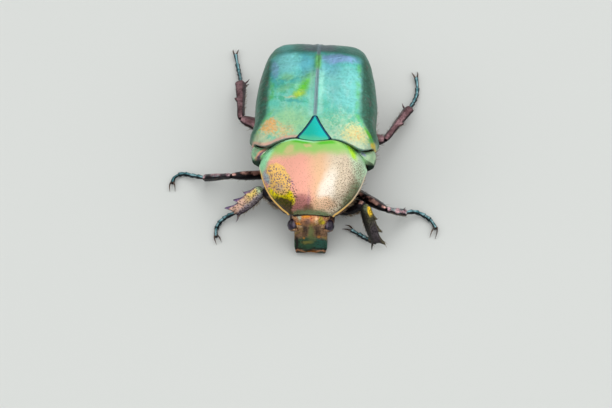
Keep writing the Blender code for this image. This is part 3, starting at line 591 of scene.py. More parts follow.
class Signal:
    """A shader socket that takes part in Python expressions. Operators on it add Math nodes."""

    def __init__(self, board: "Board", socket: Any) -> None:
        """Wraps one output socket of a board."""
        self.board = board
        self.socket = socket

    def math(self, operation: str, *values: Any) -> "Signal":
        """One Math node on this signal.

        Args:
            operation: The Math node's operation.
            *values: The other values or signals.

        Returns:
            The node's value.
        """
        return self.board.node("Math", {"operation": operation}, (self, *values))

    def __add__(self, other: Any) -> "Signal":
        """This plus another."""
        return self.math("ADD", other)

    __radd__ = __add__

    def __sub__(self, other: Any) -> "Signal":
        """This less another."""
        return self.math("SUBTRACT", other)

    def __rsub__(self, other: Any) -> "Signal":
        """A number less this."""
        return self.board.node("Math", {"operation": "SUBTRACT"}, (other, self))

    def __mul__(self, other: Any) -> "Signal":
        """This times another."""
        return self.math("MULTIPLY", other)

    __rmul__ = __mul__

    def __neg__(self) -> "Signal":
        """This with its sign turned."""
        return self * -1

    def least(self, other: Any) -> "Signal":
        """The smaller of this and another."""
        return self.math("MINIMUM", other)

    def most(self, other: Any) -> "Signal":
        """The larger of this and another."""
        return self.math("MAXIMUM", other)

    def size(self) -> "Signal":
        """This without its sign."""
        return self.math("ABSOLUTE")

    def rise(self, low: float, high: float) -> "Signal":
        """A soft step from 0 where this is low to 1 where it is high, which may be the smaller number."""
        values = {0: self, 1: low, 2: high, 3: 0, 4: 1}
        return self.board.node("MapRange", {"interpolation_type": "SMOOTHSTEP"}, values)

    def bell(self, place: float, reach: float) -> "Signal":
        """A bell of height one where this is at a place."""
        off = (self - place) * (1 / reach)
        return 1 / (1 + off * off * off * off)

    def __rtruediv__(self, other: Any) -> "Signal":
        """A number over this."""
        return self.board.node("Math", {"operation": "DIVIDE"}, (other, self))


class Board:
    """The node tree of one material or of the surround, with the shader that it feeds."""

    def __init__(self, owner: Any, shader: str = "Principled BSDF") -> None:
        """Takes over the nodes of a material or of the surround."""
        owner.use_nodes = True
        self.tree = owner.node_tree
        self.shader = self.tree.nodes[shader]

    def node(self, kind: str, settings: dict | None = None, values: Any = (), output: Any = 0) -> Signal:
        """Adds one node.

        Args:
            kind: The node's type, without the words that all of them start with.
            settings: What is set on the node before its sockets.
            values: Numbers, colours or signals for its inputs, in order or by name or index.
            output: Which output is given back.

        Returns:
            That output.
        """
        made = self.tree.nodes.new(f"ShaderNode{kind}")
        for key, value in (settings or {}).items():
            setattr(made, key, value)
        pairs = values.items() if isinstance(values, dict) else enumerate(values)
        for key, value in pairs:
            self.feed(made.inputs[key], value)
        return Signal(self, made.outputs[output])

    def feed(self, socket: Any, value: Any) -> None:
        """Links a signal to a socket, or sets its value."""
        if isinstance(value, Signal):
            self.tree.links.new(value.socket, socket)
        elif isinstance(value, tuple) and len(value) == 3 and socket.type == "RGBA":
            socket.default_value = (*value, 1)
        else:
            socket.default_value = value

    def place(self) -> Signal:
        """The place on the piece in mm, in the frame that the piece was made in."""
        return self.node("Attribute", {"attribute_name": "place"}, (), "Vector")

    def marks(self) -> tuple[Signal, Signal, Signal]:
        """The depth of the pits, and the distances from the side edge and from the base or the seam."""
        return self.parts(self.node("Attribute", {"attribute_name": "marks"}, (), "Vector"))

    def vector(self, operation: str, *values: Any) -> Signal:
        """One Vector Math node."""
        return self.node("VectorMath", {"operation": operation}, values)

    def parts(self, vector: Signal) -> tuple[Signal, Signal, Signal]:
        """The X, Y and Z of a vector."""
        first = self.node("SeparateXYZ", {}, (vector,), "X")
        outs = first.socket.node.outputs
        return first, Signal(self, outs["Y"]), Signal(self, outs["Z"])

    def mix(self, low: Any, high: Any, share: Any) -> Signal:
        """Mixes two colours by a share."""
        return self.node("Mix", {"data_type": "RGBA"}, {"Factor": share, 6: low, 7: high}, 2)

    def noise(self, vector: Signal, scale: float, detail: float = 2.0, rough: float = 0.5) -> Signal:
        """Noise from 0 to 1, with its scale in features per mm."""
        values = {"Vector": vector, "Scale": scale, "Detail": detail, "Roughness": rough}
        return self.node("TexNoise", {}, values, "Fac")

    def cells(self, vector: Signal, scale: float, jitter: float = 1.0) -> Signal:
        """Distance to the nearest of scattered points, in cells."""
        values = {"Vector": vector, "Scale": scale, "Randomness": jitter}
        return self.node("TexVoronoi", {"feature": "F1"}, values, "Distance")

    def warped(self, place: Signal, scale: float, amount: float) -> Signal:
        """A place pushed about by noise.

        Args:
            place: The place in mm.
            scale: How fine the noise is.
            amount: Twice how far it pushes at most, in mm.

        Returns:
            The new place.
        """
        values = {"Vector": place, "Scale": scale, "Detail": 2}
        away = self.vector("SUBTRACT", self.node("TexNoise", {}, values, "Color"), (0.5, 0.5, 0.5))
        return self.vector("ADD", place, self.vector("MULTIPLY", away, (amount, amount, amount)))

    def spot(
        self, place: Signal, x: float, y: float, long: float, wide: float, soft: float = 0.6, turn: float = 0
    ) -> Signal:
        """A soft oval patch.

        Args:
            place: The place in mm.
            x: X of its middle.
            y: Y of its middle.
            long: Half its length.
            wide: Half its width.
            soft: Share of the radius over which it fades, to each side.
            turn: The direction of its length, in degrees from X.

        Returns:
            1 within the patch and 0 outside.
        """
        values = {
            "Vector": place, "Location": (x, y, 0), "Rotation": (0, 0, math.radians(turn)),
            "Scale": (long, wide, ANY_HEIGHT),
        }
        own = self.node("Mapping", {"vector_type": "TEXTURE"}, values)
        away = self.node("VectorMath", {"operation": "LENGTH"}, (own,), "Value")
        return away.rise(1 + soft, 1 - soft)

    def layers(self, place: Signal, colour: Any, *layers: tuple) -> Signal:
        """Lays colours over a colour.

        Args:
            place: The place that the oval patches are read at.
            colour: The lowest colour.
            *layers: Each a colour and its share, or a colour, its greatest share and the numbers of a spot.

        Returns:
            The mixed colour.
        """
        for over, share, *oval in layers:
            colour = self.mix(colour, over, self.spot(place, *oval) * share if oval else share)
        return colour

    def shell(
        self, colour: Any, roughness: Any, relief: Signal, deep: float,
        coat: float = 0.12, smear: float = 0.14, **more: Any,
    ) -> None:
        """Sets the shader of a metallic shell under a thin clear coat.

        Args:
            colour: Its colour.
            roughness: Its roughness.
            relief: Its fine relief.
            deep: What the relief is multiplied by, in mm.
            coat: Weight of the clear coat.
            smear: Roughness of the clear coat.
            **more: Other inputs, such as the metal's share or a tint.
        """
        more = {"Metallic": SHELL_METAL, **more}
        self.set(Base_Color=colour, Roughness=roughness, Coat_Weight=coat, Coat_Roughness=smear,
                 Normal=self.bump(relief, deep), **more)

    def depth(self) -> Signal:
        """The depth of the pits that the mesh carries."""
        return self.marks()[0]

    def facing_up(self) -> Signal:
        """How far the surface faces up, from -1 to 1."""
        return self.parts(self.node("NewGeometry", output="Normal"))[2]

    def bump(self, height: Signal, distance: float) -> Signal:
        """A bumped normal, with its height in mm."""
        return self.node("Bump", {}, {"Height": height, "Distance": distance * MM}, "Normal")

    def set(self, **values: Any) -> None:
        """Sets or feeds inputs of the shader, named with underscores for spaces."""
        for name, value in values.items():
            self.feed(self.shader.inputs[name.replace("_", " ")], value)


@dataclass(frozen=True)
class Finish:
    """The base of every finish: a material made once, and painted by paint."""

    name: str

    def paint(self, board: Board) -> None:
        """Paints the shader.

        Args:
            board: The material's nodes.
        """
        raise NotImplementedError

    def material(self) -> Any:
        """The material, made on first use."""
        found = bpy.data.materials.get(self.name)
        if found:
            return found
        made = bpy.data.materials.new(self.name)
        self.paint(Board(made))
        return made


@dataclass(frozen=True)
class Cuticle(Finish):
    """Metallic cuticle: one hue mottled towards a second as painted light where it faces up, a darker
    painted shade elsewhere, and painted shade in its pits and dots.
    """

    main: Rgb = (0.1, 0.06, 0.05)
    second: Rgb = (0.2, 0.08, 0.05)
    # below: the painted shade colour where the surface faces away from up.
    below: Rgb = (0.02, 0.015, 0.02)
    pit: Rgb = (0.02, 0.01, 0.02)
    roughness: float = 0.3
    grain: float = 7.0
    patches: float = 1.1
    # low, high and mottle: where the painted light of main and second gives way to the painted shade of
    # below.
    low: float = 0.2
    high: float = 0.8
    mottle: float = 0.5
    glint: Rgb = (0.12, 0.4, 0.36)
    glints: float = 0.0

    def paint(self, board: Board) -> None:
        """Paints the cuticle."""
        place = board.place()
        cloud = board.noise(place, self.patches, 4)
        top = board.mix(self.main, self.second, cloud.rise(0.38, 0.62))
        # Painted teal highlights (glints) mottled into the lit colour.
        if self.glints:
            shine = board.noise(place, self.patches * 2.2, 3).rise(0.52, 0.62)
            top = board.mix(top, self.glint, shine * self.glints)
        # Painted light and shade: the lit colour where the surface faces up, the below colour as painted
        # shade elsewhere.
        lit_share = (board.facing_up() + self.mottle * (cloud - 0.5)).rise(self.low, self.high)
        fine = board.noise(place, self.grain * 3, 3)
        dots = board.cells(place, self.grain).rise(0.36, 0.16)
        # Painted shade in the pits and dots.
        pitted = (dots * 0.55).most(board.depth())
        colour = board.mix(board.mix(self.below, top, lit_share), self.pit, pitted * 0.8)
        board.shell(colour, self.roughness + 0.14 * fine + 0.15 * pitted, fine * 0.4 - dots, 0.014)


@dataclass(frozen=True)
class ShieldFinish(Finish):
    """The pronotum: green at the base, then salmon, peach and cream, the cream partly a painted highlight,
    with a gold and violet patch; a painted highlight at the right front, painted dark reflections at the
    front and the right margin, and painted shade in its pits, the groove inside its bead and along its base.
    """

    salmon: Rgb = (0.94, 0.44, 0.34)
    peach: Rgb = (0.86, 0.53, 0.32)
    cream: Rgb = (0.8, 0.66, 0.5)
    glare: Rgb = (1, 0.92, 0.82)
    straw: Rgb = (0.62, 0.6, 0.28)
    leaf: Rgb = (0.3, 0.67, 0.15)
    grass: Rgb = (0.12, 0.58, 0.04)
    mint: Rgb = (0.42, 0.95, 0.55)
    frost: Rgb = (0.62, 0.92, 0.64)
    gold: Rgb = (1, 0.62, 0.19)
    lime: Rgb = (0.55, 0.95, 0.04)
    yellow: Rgb = (1, 0.82, 0)
    ash: Rgb = (0.42, 0.36, 0.42)
    violet: Rgb = (0.17, 0.08, 0.22)
    sky: Rgb = (0.34, 0.52, 0.64)
    olive: Rgb = (0.022, 0.028, 0.003)
    moss: Rgb = (0.11, 0.2, 0.09)
    mauve: Rgb = (0.44, 0.16, 0.16)
    umber: Rgb = (0.14, 0.07, 0.03)
    ink: Rgb = (0.01, 0.03, 0.06)
    pit: Rgb = (0.17, 0.09, 0.04)

    def zones(self, board: Board, place: Signal) -> Signal:
        """The broad colours with a painted highlight, by X across and Y back from the front edge at about
        -5.2 mm.

        Args:
            board: The material's nodes.
            place: The place in mm.

        Returns:
            The colour.
        """
        bent = board.warped(board.warped(place, 0.9, 0.6), 4, 0.2)
        x, y, _ = board.parts(bent)
        wide = x.size()
        return board.layers(
            bent, board.mix(self.salmon, self.peach, (x + 0.1 * y).rise(-1, 0.3)),
            # Cream towards the right: partly the pronotum's colour, partly painted highlight. Glare: a
            # painted highlight.
            (self.cream, (x - 0.08 * y).rise(0.7, 2)),
            (self.glare, 0.75, 1.2, -3.45, 1.3, 0.55, 0.6, 68),
            (self.straw, (y - 0.12 * x.most(0)).rise(-1.6, -0.8) * x.rise(3.4, 2.2) * 0.45),
            (self.frost, (x + 0.35 * y).rise(2.1, 3) * 0.65),
            (self.leaf, (y - 0.12 * x.most(0) + 0.05 * wide).rise(-1.25, -0.45) * 0.9),
            (self.peach, 0.55, -1.85, -0.6, 0.4, 0.3, 0.4),
            (self.peach, 0.55, -0.4, -0.28, 0.3, 0.16, 0.4),
            (self.mint, (wide + 0.42 * y).rise(2.75, 3.35) * x.rise(1, -1)),
            (self.frost, (wide + 0.42 * y).rise(3, 3.7) * x.rise(-1, 1)),
            (self.lime, 0.95, 3.05, -0.42, 0.65, 0.19, 0.6, -58),
        )

    def front(self, board: Board, colour: Signal, place: Signal) -> Signal:
        """Lays the colours of the front over the broad ones, with painted dark reflections along the right
        margin, the front edge and the front left.

        Args:
            board: The material's nodes.
            colour: The broad colours.
            place: The place in mm.

        Returns:
            The colour.
        """
        bent = board.warped(board.warped(place, 1.1, 0.35), 5, 0.22)
        x, y, _ = board.parts(bent)
        speck = board.noise(place, 5, 3).rise(0.42, 0.6)
        return board.layers(
            bent, colour,
            (self.mauve, 0.85, -0.85, -4.55, 0.85, 0.55, 0.35),
            (self.peach, 0.8, 0.9, -4.5, 0.95, 0.42, 0.4, 15),
            (self.umber, 0.75, -0.2, -4.8, 0.4, 0.15, 0.5),
            (self.violet, 0.25, -0.2, -4.2, 0.12, 0.55),
            # Painted dark reflection along the right margin and along the front edge.
            (self.moss, (0.85 * x - 0.52 * y).rise(3.85, 4.5) * y.rise(-1.9, -2.9) * (0.75 + 0.2 * speck)),
            (self.moss, (y + 0.06 * x.size()).rise(-4.72, -4.98) * 0.9),
            (self.yellow, 1, -2.46, -3.8, 1.3, 0.46, 0.15, -30),
            (self.gold, 1, -2.68, -2.75, 1.32, 0.74, 0.1, -52),
            (self.ash, 0.4, -2.5, -3.4, 0.4, 0.17, 0.6, -35),
            (self.sky, 0.85, -3.6, -2.4, 0.5, 0.15, 0.5, -62),
            # Painted dark reflection at the front left.
            (self.olive, (0.38 * x + y).rise(-4.78, -5) * x.rise(-1.4, -1.55) * 0.95),
        )

    def paint(self, board: Board) -> None:
        """Paints the pronotum."""
        place = board.place()
        x, y, _ = board.parts(place)
        depth, side, base = board.marks()
        colour = self.front(board, self.zones(board, place), place)
        patch = board.spot(board.warped(place, 3, 0.2), -2.5, -3.3, 1.9, 0.98, 0.1, -52)
        net = board.cells(board.warped(place, 6, 0.08), 6.8).rise(0.44, 0.3) * patch
        dark_net = y.rise(-3.3, -3.7)
        right = x.rise(-0.5, 0.5)
        greens = board.spot(place, 2.9, -0.3, 0.6, 0.5, 0.4) * 0.4
        for across in (1, -1):
            greens = greens + board.spot(place, across, 0, 0.7, 0.6, 0.4)
        bead = board.mix(self.gold, self.cream, right * y.rise(-4.6, -2.6))
        bead = board.mix(bead, self.frost, y.rise(-1.9, -1.2))
        dots = depth.rise(0.1, 0.6) * (0.22 + 0.5 * x.rise(0.8, 2.4) + 0.45 * y.rise(-3.8, -4.4)).least(0.85)
        colour = board.layers(
            place, colour,
            # The net's dots turn to the olive painted shade towards the front; then painted shade in the
            # pits, in the groove inside the bead and in the gap along the base.
            (board.mix(self.violet, self.olive, dark_net), net * 0.85),
            (self.pit, dots * y.rise(-0.5, -1.5)),
            (self.ink, side.bell(0.27, 0.07) * y.rise(-1, -2) * 0.7),
            (self.grass, base.bell(0.2, 0.13) * greens),
            (self.mint, base.rise(0.2, 0.08) * x.rise(0.8, -0.4) * 0.8),
            (self.ink, base.rise(0.045, 0.01) * 0.8),
            (bead, side.rise(0.2, 0.14)),
        )
        fine = board.noise(place, 22, 3)
        board.shell(
            colour, 0.28 + 0.1 * fine + 0.12 * depth,
            fine * 0.5 - net, 0.008, 0.12, 0.2, Specular_Tint=(1, 0.95, 0.9),
        )


@dataclass(frozen=True)
class WingCaseFinish(Finish):
    """The elytra: mint green with blue and lilac towards the end, and copper and cream at the shoulders;
    painted shade on the flanks, at the end, along the seam, along the base and in the pits.
    """

    mint: Rgb = (0.14, 0.62, 0.5)
    sea: Rgb = (0.25, 0.66, 0.7)
    straw: Rgb = (0.48, 0.72, 0.32)
    fern: Rgb = (0.07, 0.46, 0.26)
    butter: Rgb = (0.85, 0.78, 0.36)
    pale: Rgb = (0.36, 0.74, 0.62)
    cream: Rgb = (0.66, 0.76, 0.56)
    moss: Rgb = (0.05, 0.17, 0.13)
    leaf: Rgb = (0.24, 0.55, 0.26)
    grass: Rgb = (0.12, 0.52, 0.03)
    lime: Rgb = (0.42, 0.62, 0.06)
    meadow: Rgb = (0.13, 0.44, 0.09)
    teal: Rgb = (0.07, 0.42, 0.4)
    azure: Rgb = (0.13, 0.42, 0.58)
    reef: Rgb = (0.05, 0.4, 0.42)
    lilac: Rgb = (0.26, 0.38, 0.7)
    copper: Rgb = (0.92, 0.46, 0.15)
    peach: Rgb = (0.8, 0.62, 0.36)
    rose: Rgb = (0.78, 0.36, 0.3)
    gold: Rgb = (0.85, 0.55, 0.03)
    flank: Rgb = (0.045, 0.13, 0.08)
    bruise: Rgb = (0.17, 0.12, 0.12)
    dusk: Rgb = (0.15, 0.16, 0.2)
    seam: Rgb = (0.22, 0.27, 0.33)
    ink: Rgb = (0.01, 0.02, 0.06)
    pit: Rgb = (0.08, 0.34, 0.27)

    def disc(self, board: Board, place: Signal) -> Signal:
        """The colours of the upper face, by X across and Y back from the base.

        Args:
            board: The material's nodes.
            place: The place in mm.

        Returns:
            The colour.
        """
        bent = board.warped(board.warped(place, 0.8, 0.9), 3.5, 0.35)
        streaked = board.vector("MULTIPLY", place, (1.6, 0.8, 1))
        cloud = board.noise(streaked, 1.1, 4)
        speck = board.noise(place, 4, 3)
        x, y, _ = board.parts(bent)
        fleck = board.noise(board.warped(place, 5, 0.3), 4.2, 5, 0.65)
        freckle = board.noise(board.warped(place, 6, 0.3), 5.5, 4, 0.6)
        copper = board.spot(bent, -3.6, 1.4, 0.85, 0.75, 0.55).most(
            board.spot(bent, -2.6, 1.1, 1.1, 0.8, 0.7) * 0.62)
        peach = board.spot(bent, 3.4, 0.9, 1.3, 1, 0.7)
        shoulder = board.spot(bent, -3.4, 1, 1.6, 1.3, 0.7)
        return board.layers(
            bent, board.mix(self.mint, self.pale, cloud.rise(0.45, 0.68) * (0.5 + 0.5 * x.rise(-1, 1))),
            (self.leaf, speck.rise(0.52, 0.66) * 0.35),
            (self.leaf, y.rise(3.4, 1.6) * 0.25),
            (self.straw, 0.6, -1.9, 1.8, 1.7, 1.2, 0.7),
            (self.fern, board.noise(bent, 1.9, 3).rise(0.5, 0.6) * y.rise(2.6, 3.6) * y.rise(7.6, 6.6)
             * (0.25 + 0.5 * x.rise(0.2, -0.6))),
            (self.reef, board.noise(bent, 1.3, 3).rise(0.47, 0.57) * y.rise(4.6, 6) * x.rise(-0.3, -0.8)
             * 0.8),
            (self.straw, 0.15, 2.2, 1.6, 1.5, 0.9, 0.7),
            (self.peach, (shoulder * (fleck - 0.25)).rise(0.15, 0.4) * 0.5),
            (self.teal, (y + 3 * (cloud - 0.5)).rise(5, 8) * 0.75),
            (self.azure, 0.7, 1, 7.2, 0.8, 0.8),
            (self.sea, (x + 0.4 * y).rise(1.6, 3.4) * y.rise(2.2, 4) * y.rise(8, 6.5) * x.rise(-0.3, 0.6)
             * 0.6),
            (self.sea, 0.75, -2.6, 7.7, 1.1, 1.3),
            (self.azure, 0.6, -0.9, 7.5, 0.7, 1.2),
            (self.lilac, 0.8, 1.7, 8.25, 1.6, 0.55, 0.45),
            (self.lilac, 0.55, -3.45, 7, 0.35, 0.9),
            (self.peach, (copper + 2.4 * (fleck - 0.5)).rise(0.2, 1) * copper.rise(0, 0.5) * 0.6),
            (self.copper, (copper + 3 * (freckle - 0.5)).rise(0.5, 1.1) * copper.rise(0, 0.6)),
            (self.cream, 0.5, 3, 0.5, 1.9, 0.9),
            (self.cream, fleck.rise(0.5, 0.6) * y.rise(3.4, 1.4) * x.rise(-0.5, 1.5) * 0.55),
            (self.leaf, freckle.rise(0.54, 0.62) * y.rise(3.6, 1.6) * 0.4),
            (self.butter, (peach + 2.4 * (fleck - 0.5)).rise(0.3, 1.1) * peach.rise(0, 0.6) * 0.9),
            (self.copper, (peach + 3 * (freckle - 0.5)).rise(1.05, 1.5) * peach.rise(0.2, 0.7) * 0.8),
            (self.peach, 0.5, -4.3, 0.4, 0.8, 0.5, 0.6, -30),
            (self.leaf, 0.7, -1.1, 5.2, 1.4, 0.6, 0.7, 68),
            (self.grass, 0.95, -0.98, 5.2, 1.2, 0.42, 0.7, 68),
            (self.lime, 0.9, -1.35, 4.3, 0.55, 0.32, 0.7, 35),
            (self.leaf, 0.6, -2.6, 5, 0.7, 0.3, 0.7, 20),
            (self.peach, 0.5, -2, 4.05, 0.45, 0.08, 0.7, -4),
            (self.leaf, 0.6, -2.3, 6.2, 0.5, 0.4),
            (self.teal, 0.8, -1.8, 3.65, 0.75, 0.16, 0.6, -4),
        )

    def borders(self, board: Board, colour: Signal, place: Signal) -> Signal:
        """Lays the painted shade of the flanks, the end, the seam and the gap at the front edge, and the
        colours there, over the disc.

        Args:
            board: The material's nodes.
            colour: The colours of the disc.
            place: The place in mm.

        Returns:
            The colour.
        """
        x, y, _ = board.parts(board.warped(place, 1.5, 0.3))
        plain_x, plain_y, _ = board.parts(place)
        _, _, base = board.marks()
        cloud = board.noise(place, 0.9, 3)
        out = (x + 0.12).size() - 3.62 - 0.55 * (2.6 - y).most(0)
        flank_tint_share = (cloud + 0.4 * board.noise(place, 3.1, 3)).rise(0.72, 0.95)
        behind = plain_y.rise(2.2, 2.6)
        near = plain_x.size()
        return board.layers(
            place, colour,
            (self.grass, out.bell(-0.12, 0.2) * cloud.rise(0.4, 0.62) * 0.55),
            # Painted shade over the flanks, with a brownish tint mottled in.
            (board.mix(self.flank, self.bruise, flank_tint_share * 0.6), out.rise(-0.15, 0.32) * 0.95),
            # Painted shade at the end of the elytra.
            (self.moss, (y + 0.1 * near).rise(8.7, 9.3) * 0.85),
            (self.teal, 0.7, -2.7, 9.6, 0.6, 0.8),
            # Painted shade at the end beside the seam.
            (self.dusk, near.rise(1.9, 0.8) * y.rise(8.9, 9.4) * 0.85),
            (self.pale, (near - 0.38).bell(0, 0.2) * behind * plain_y.rise(7.4, 6.2) * 0.6),
            # Painted shade along the seam, where its raised ridges lie in shade.
            (self.seam, near.rise(0.2, 0.1) * behind * 0.85),
            (self.meadow, near.rise(0.42, 0.12) * plain_y.rise(6.7, 7.4) * plain_y.rise(9, 8.3) * 0.85),
            (self.rose, (base + 0.1 * cloud).bell(0.16, 0.16) * plain_x.rise(-0.9, -1.5) * 0.75),
            (self.cream, base.bell(0.2, 0.25) * plain_x.rise(2.4, 3.2) * 0.6),
            (self.gold, 0.9, 4.72, 0.45, 0.26, 0.18, 0.4, 50),
            (self.grass, 0.95, 4.35, 1.1, 0.62, 0.14, 0.6, -58),
            # Painted shade in the gap along the base.
            (self.ink, base.rise(0.05, 0.01) * 0.7),
        )

    def paint(self, board: Board) -> None:
        """Paints the elytra."""
        place = board.place()
        depth = board.depth()
        colour = self.borders(board, self.disc(board, place), place)
        fine = board.noise(place, 14, 4)
        ripple = board.noise(board.vector("MULTIPLY", place, (1, 1.6, 1)), 1.7, 3, 0.6)
        colour = board.mix(colour, self.pale, fine.rise(0.55, 0.72) * 0.2)
        # Painted shade in the hollows of the ripple relief, and below in the pits.
        colour = board.mix(colour, self.pit, ripple.rise(0.5, 0.36) * 0.22)
        board.shell(
            board.mix(colour, self.pit, depth * 0.3), 0.34 + 0.12 * fine,
            fine * 0.3 + ripple * 3, 0.02, 0.08, 0.25, Metallic=0.82, Specular_Tint=(0.92, 1, 0.98),
        )


@dataclass(frozen=True)
class ScutellumFinish(Finish):
    """The scutellum: turquoise, greener at its base, with painted dark blue shade at its borders."""

    turquoise: Rgb = (0.01, 0.5, 0.4)
    cyan: Rgb = (0.01, 0.62, 0.58)
    green: Rgb = (0.12, 0.6, 0.32)
    ink: Rgb = (0.01, 0.03, 0.14)

    def paint(self, board: Board) -> None:
        """Paints the scutellum by the distances from its borders."""
        place = board.place()
        x, y, _ = board.parts(board.warped(place, 1.6, 0.3))
        _, side, _ = board.marks()
        fine = board.noise(place, 12, 4)
        colour = board.layers(
            place, board.mix(self.turquoise, self.cyan, (x + 0.2 * y).rise(-0.2, 0.8)),
            (self.green, y.rise(0.75, 0.3) * 0.75),
            (self.green, fine.rise(0.55, 0.7) * 0.3),
            # Painted shade along the borders.
            (self.ink, side.rise(0.15, 0.06) * 0.9),
        )
        board.shell(colour, 0.3 + 0.12 * fine, fine, 0.008, 0.1, 0.2)


@dataclass(frozen=True)
class SidePlateFinish(Finish):
    """The side plates: pale green above, with a rose streak and lilac at either side, darkened below by
    painted shade.
    """

    green: Rgb = (0.26, 0.58, 0.34)
    pale: Rgb = (0.52, 0.7, 0.44)
    rose: Rgb = (0.8, 0.38, 0.26)
    lilac: Rgb = (0.4, 0.44, 0.66)
    violet: Rgb = (0.1, 0.07, 0.16)
    # dark: painted shade on the lower part.
    dark: Rgb = (0.02, 0.06, 0.04)

    def paint(self, board: Board) -> None:
        """Paints the side plates by the place on them."""
        place = board.place()
        bent = board.warped(place, 3, 0.25)
        x, _, z = board.parts(bent)
        cloud = board.noise(place, 3, 3)
        fine = board.noise(place, 16, 3)
        colour = board.layers(
            bent, board.mix(self.green, self.pale, cloud.rise(0.4, 0.62)),
            (self.pale, x.rise(2, 3) * 0.6),
            (self.rose, 1, -4.2, -0.5, 0.5, 0.17, 0.5, 35),
            (self.violet, 0.9, -4.3, -0.68, 0.6, 0.08, 0.5, 35),
            (self.lilac, 0.9, 3.95, -0.3, 0.25, 0.13, 0.5, -35),
            # Painted shade on the lower part.
            (self.dark, (z + 0.3 * cloud).rise(4.95, 4.55)),
        )
        board.shell(
            colour, 0.32 + 0.12 * fine,
            fine * 0.3 - board.cells(place, 8).rise(0.34, 0.14), 0.012, 0.1, 0.2, Metallic=0.82,
        )


@dataclass(frozen=True)
class FaceFinish(Finish):
    """The head: copper at the top with painted highlights, bronze with painted shade in its hollows and a
    green keel, dark green on the clypeus; painted shadow under the pronotum's edge and painted shade at its
    sides and in its pits.
    """

    copper: Rgb = (0.66, 0.27, 0.12)
    orange: Rgb = (0.9, 0.32, 0.01)
    red: Rgb = (0.62, 0.1, 0.04)
    peach: Rgb = (0.92, 0.62, 0.36)
    mustard: Rgb = (0.42, 0.3, 0.04)
    yellow: Rgb = (0.8, 0.62, 0.02)
    mauve: Rgb = (0.22, 0.13, 0.11)
    bronze: Rgb = (0.29, 0.16, 0.09)
    hollow: Rgb = (0.04, 0.022, 0.014)
    keel: Rgb = (0.17, 0.2, 0.07)
    green: Rgb = (0.02, 0.09, 0.045)
    teal: Rgb = (0.012, 0.1, 0.075)
    frost: Rgb = (0.58, 0.66, 0.52)
    umber: Rgb = (0.3, 0.1, 0.02)
    pit: Rgb = (0.015, 0.01, 0.01)

    def brow(self, board: Board, bent: Signal, colour: Signal) -> Signal:
        """Lays the bright patches of the upper half over a colour; the frost and peach ones are painted
        highlights.
        """
        return board.layers(
            bent, colour,
            # Painted highlights: the frost patch here and the peach patches below.
            (self.frost, 0.8, -0.9, -0.42, 0.16, 0.2),
            (self.orange, 0.8, -0.32, -0.28, 0.4, 0.1, 0.5, 4),
            (self.red, 0.7, 0.06, -0.5, 0.05, 0.34),
            (self.mauve, 0.75, -0.2, -0.62, 0.26, 0.24),
            (self.peach, 0.8, 0.48, -0.58, 0.14, 0.28),
            (self.mustard, 1, 0.82, -0.6, 0.17, 0.32, 0.5),
            (self.yellow, 0.9, 1.02, -0.8, 0.14, 0.14, 0.5),
            (self.orange, 1, -1.02, -1, 0.26, 0.11, 0.5, 8),
            (self.peach, 0.6, -0.95, -1.26, 0.34, 0.12, 0.6, 6),
            (self.peach, 0.5, 1.15, -1.2, 0.25, 0.16, 0.6, -4),
        )

    def paint(self, board: Board) -> None:
        """Paints the head by the place on it: X across, Y up the face."""
        place = board.place()
        bent = board.warped(board.warped(place, 2, 0.25), 8, 0.12)
        x, y, _ = board.parts(bent)
        wide = x.size()
        place_x, place_y, _ = board.parts(place)
        cloud = board.noise(place, 3, 3)
        streak = board.noise(board.vector("MULTIPLY", place, (5, 1.2, 1)), 1.6, 3)
        lines = board.noise(board.vector("MULTIPLY", place, (1, 6, 1)), 2, 3)
        upper = board.mix(self.bronze, self.copper, (y + 0.5 * cloud).rise(-1, -0.1))
        upper = board.mix(upper, self.mustard, cloud.rise(0.52, 0.68) * 0.4)
        # Painted highlight streaks along the sides of the upper half.
        highlight_streaks = lines.rise(0.52, 0.66) * wide.rise(0.6, 0.95) * y.rise(-1.9, -1.1)
        upper = board.mix(upper, self.peach, highlight_streaks * 0.45)
        colour = board.layers(
            bent, self.brow(board, bent, upper),
            # Painted shade in the two hollows beside the keel and in streaks across them.
            (self.hollow, board.spot(bent, -0.42, -1.55, 0.17, 0.66, 0.9, -3) * (1.35 * streak + 0.05)),
            (self.hollow, board.spot(bent, 0.54, -1.55, 0.2, 0.62, 0.9, 3) * (1.3 * streak)),
            (self.hollow, streak.rise(0.5, 0.68) * y.rise(-0.6, -1.1) * y.rise(-2.3, -1.9) * 0.4),
            (self.keel, 0.85, 0.04, -1.75, 0.22, 0.85),
            (board.mix(self.green, self.teal, x.rise(-0.1, 0.7)), (y + 0.3 * wide).rise(-1.85, -2.3) * 0.95),
            (self.keel, 0.65, 0.15, -2.3, 0.32, 0.4),
            (self.mustard, 0.4, -0.3, -2.75, 0.42, 0.17),
            (self.orange, 0.5, -0.55, -2.28, 0.08, 0.1),
            (self.orange, 0.45, 0.66, -2.15, 0.1, 0.12),
            # Painted shade: a dark line at the left wall of the clypeus' dish, along the sides of the face,
            # and along the front of the clypeus before its rim.
            (self.pit, 0.5, -0.64, -2.75, 0.03, 0.5, 0.7),
            (self.pit, wide.bell(1.1, 0.12) * y.rise(-1.9, -2.4) * x.rise(1.4, -0.6) * 0.95),
            (self.pit, (y + 0.14 * x.bell(0, 0.6)).rise(-3.12, -3.24) * 0.75),
            # Painted highlight along the clypeus rim.
            (self.copper, (y + 0.14 * x.bell(0, 0.6)).bell(-3.4, 0.045) * wide.rise(0.35, 0.5) * 0.4),
            (self.umber, 0.8, 0.1, -3.52, 0.35, 0.1, 0.5),
            # Painted shadow of the pronotum's front edge on the head.
            (self.pit, (place_y + 0.17 * place_x * place_x).rise(-0.26, -0.16)),
        )
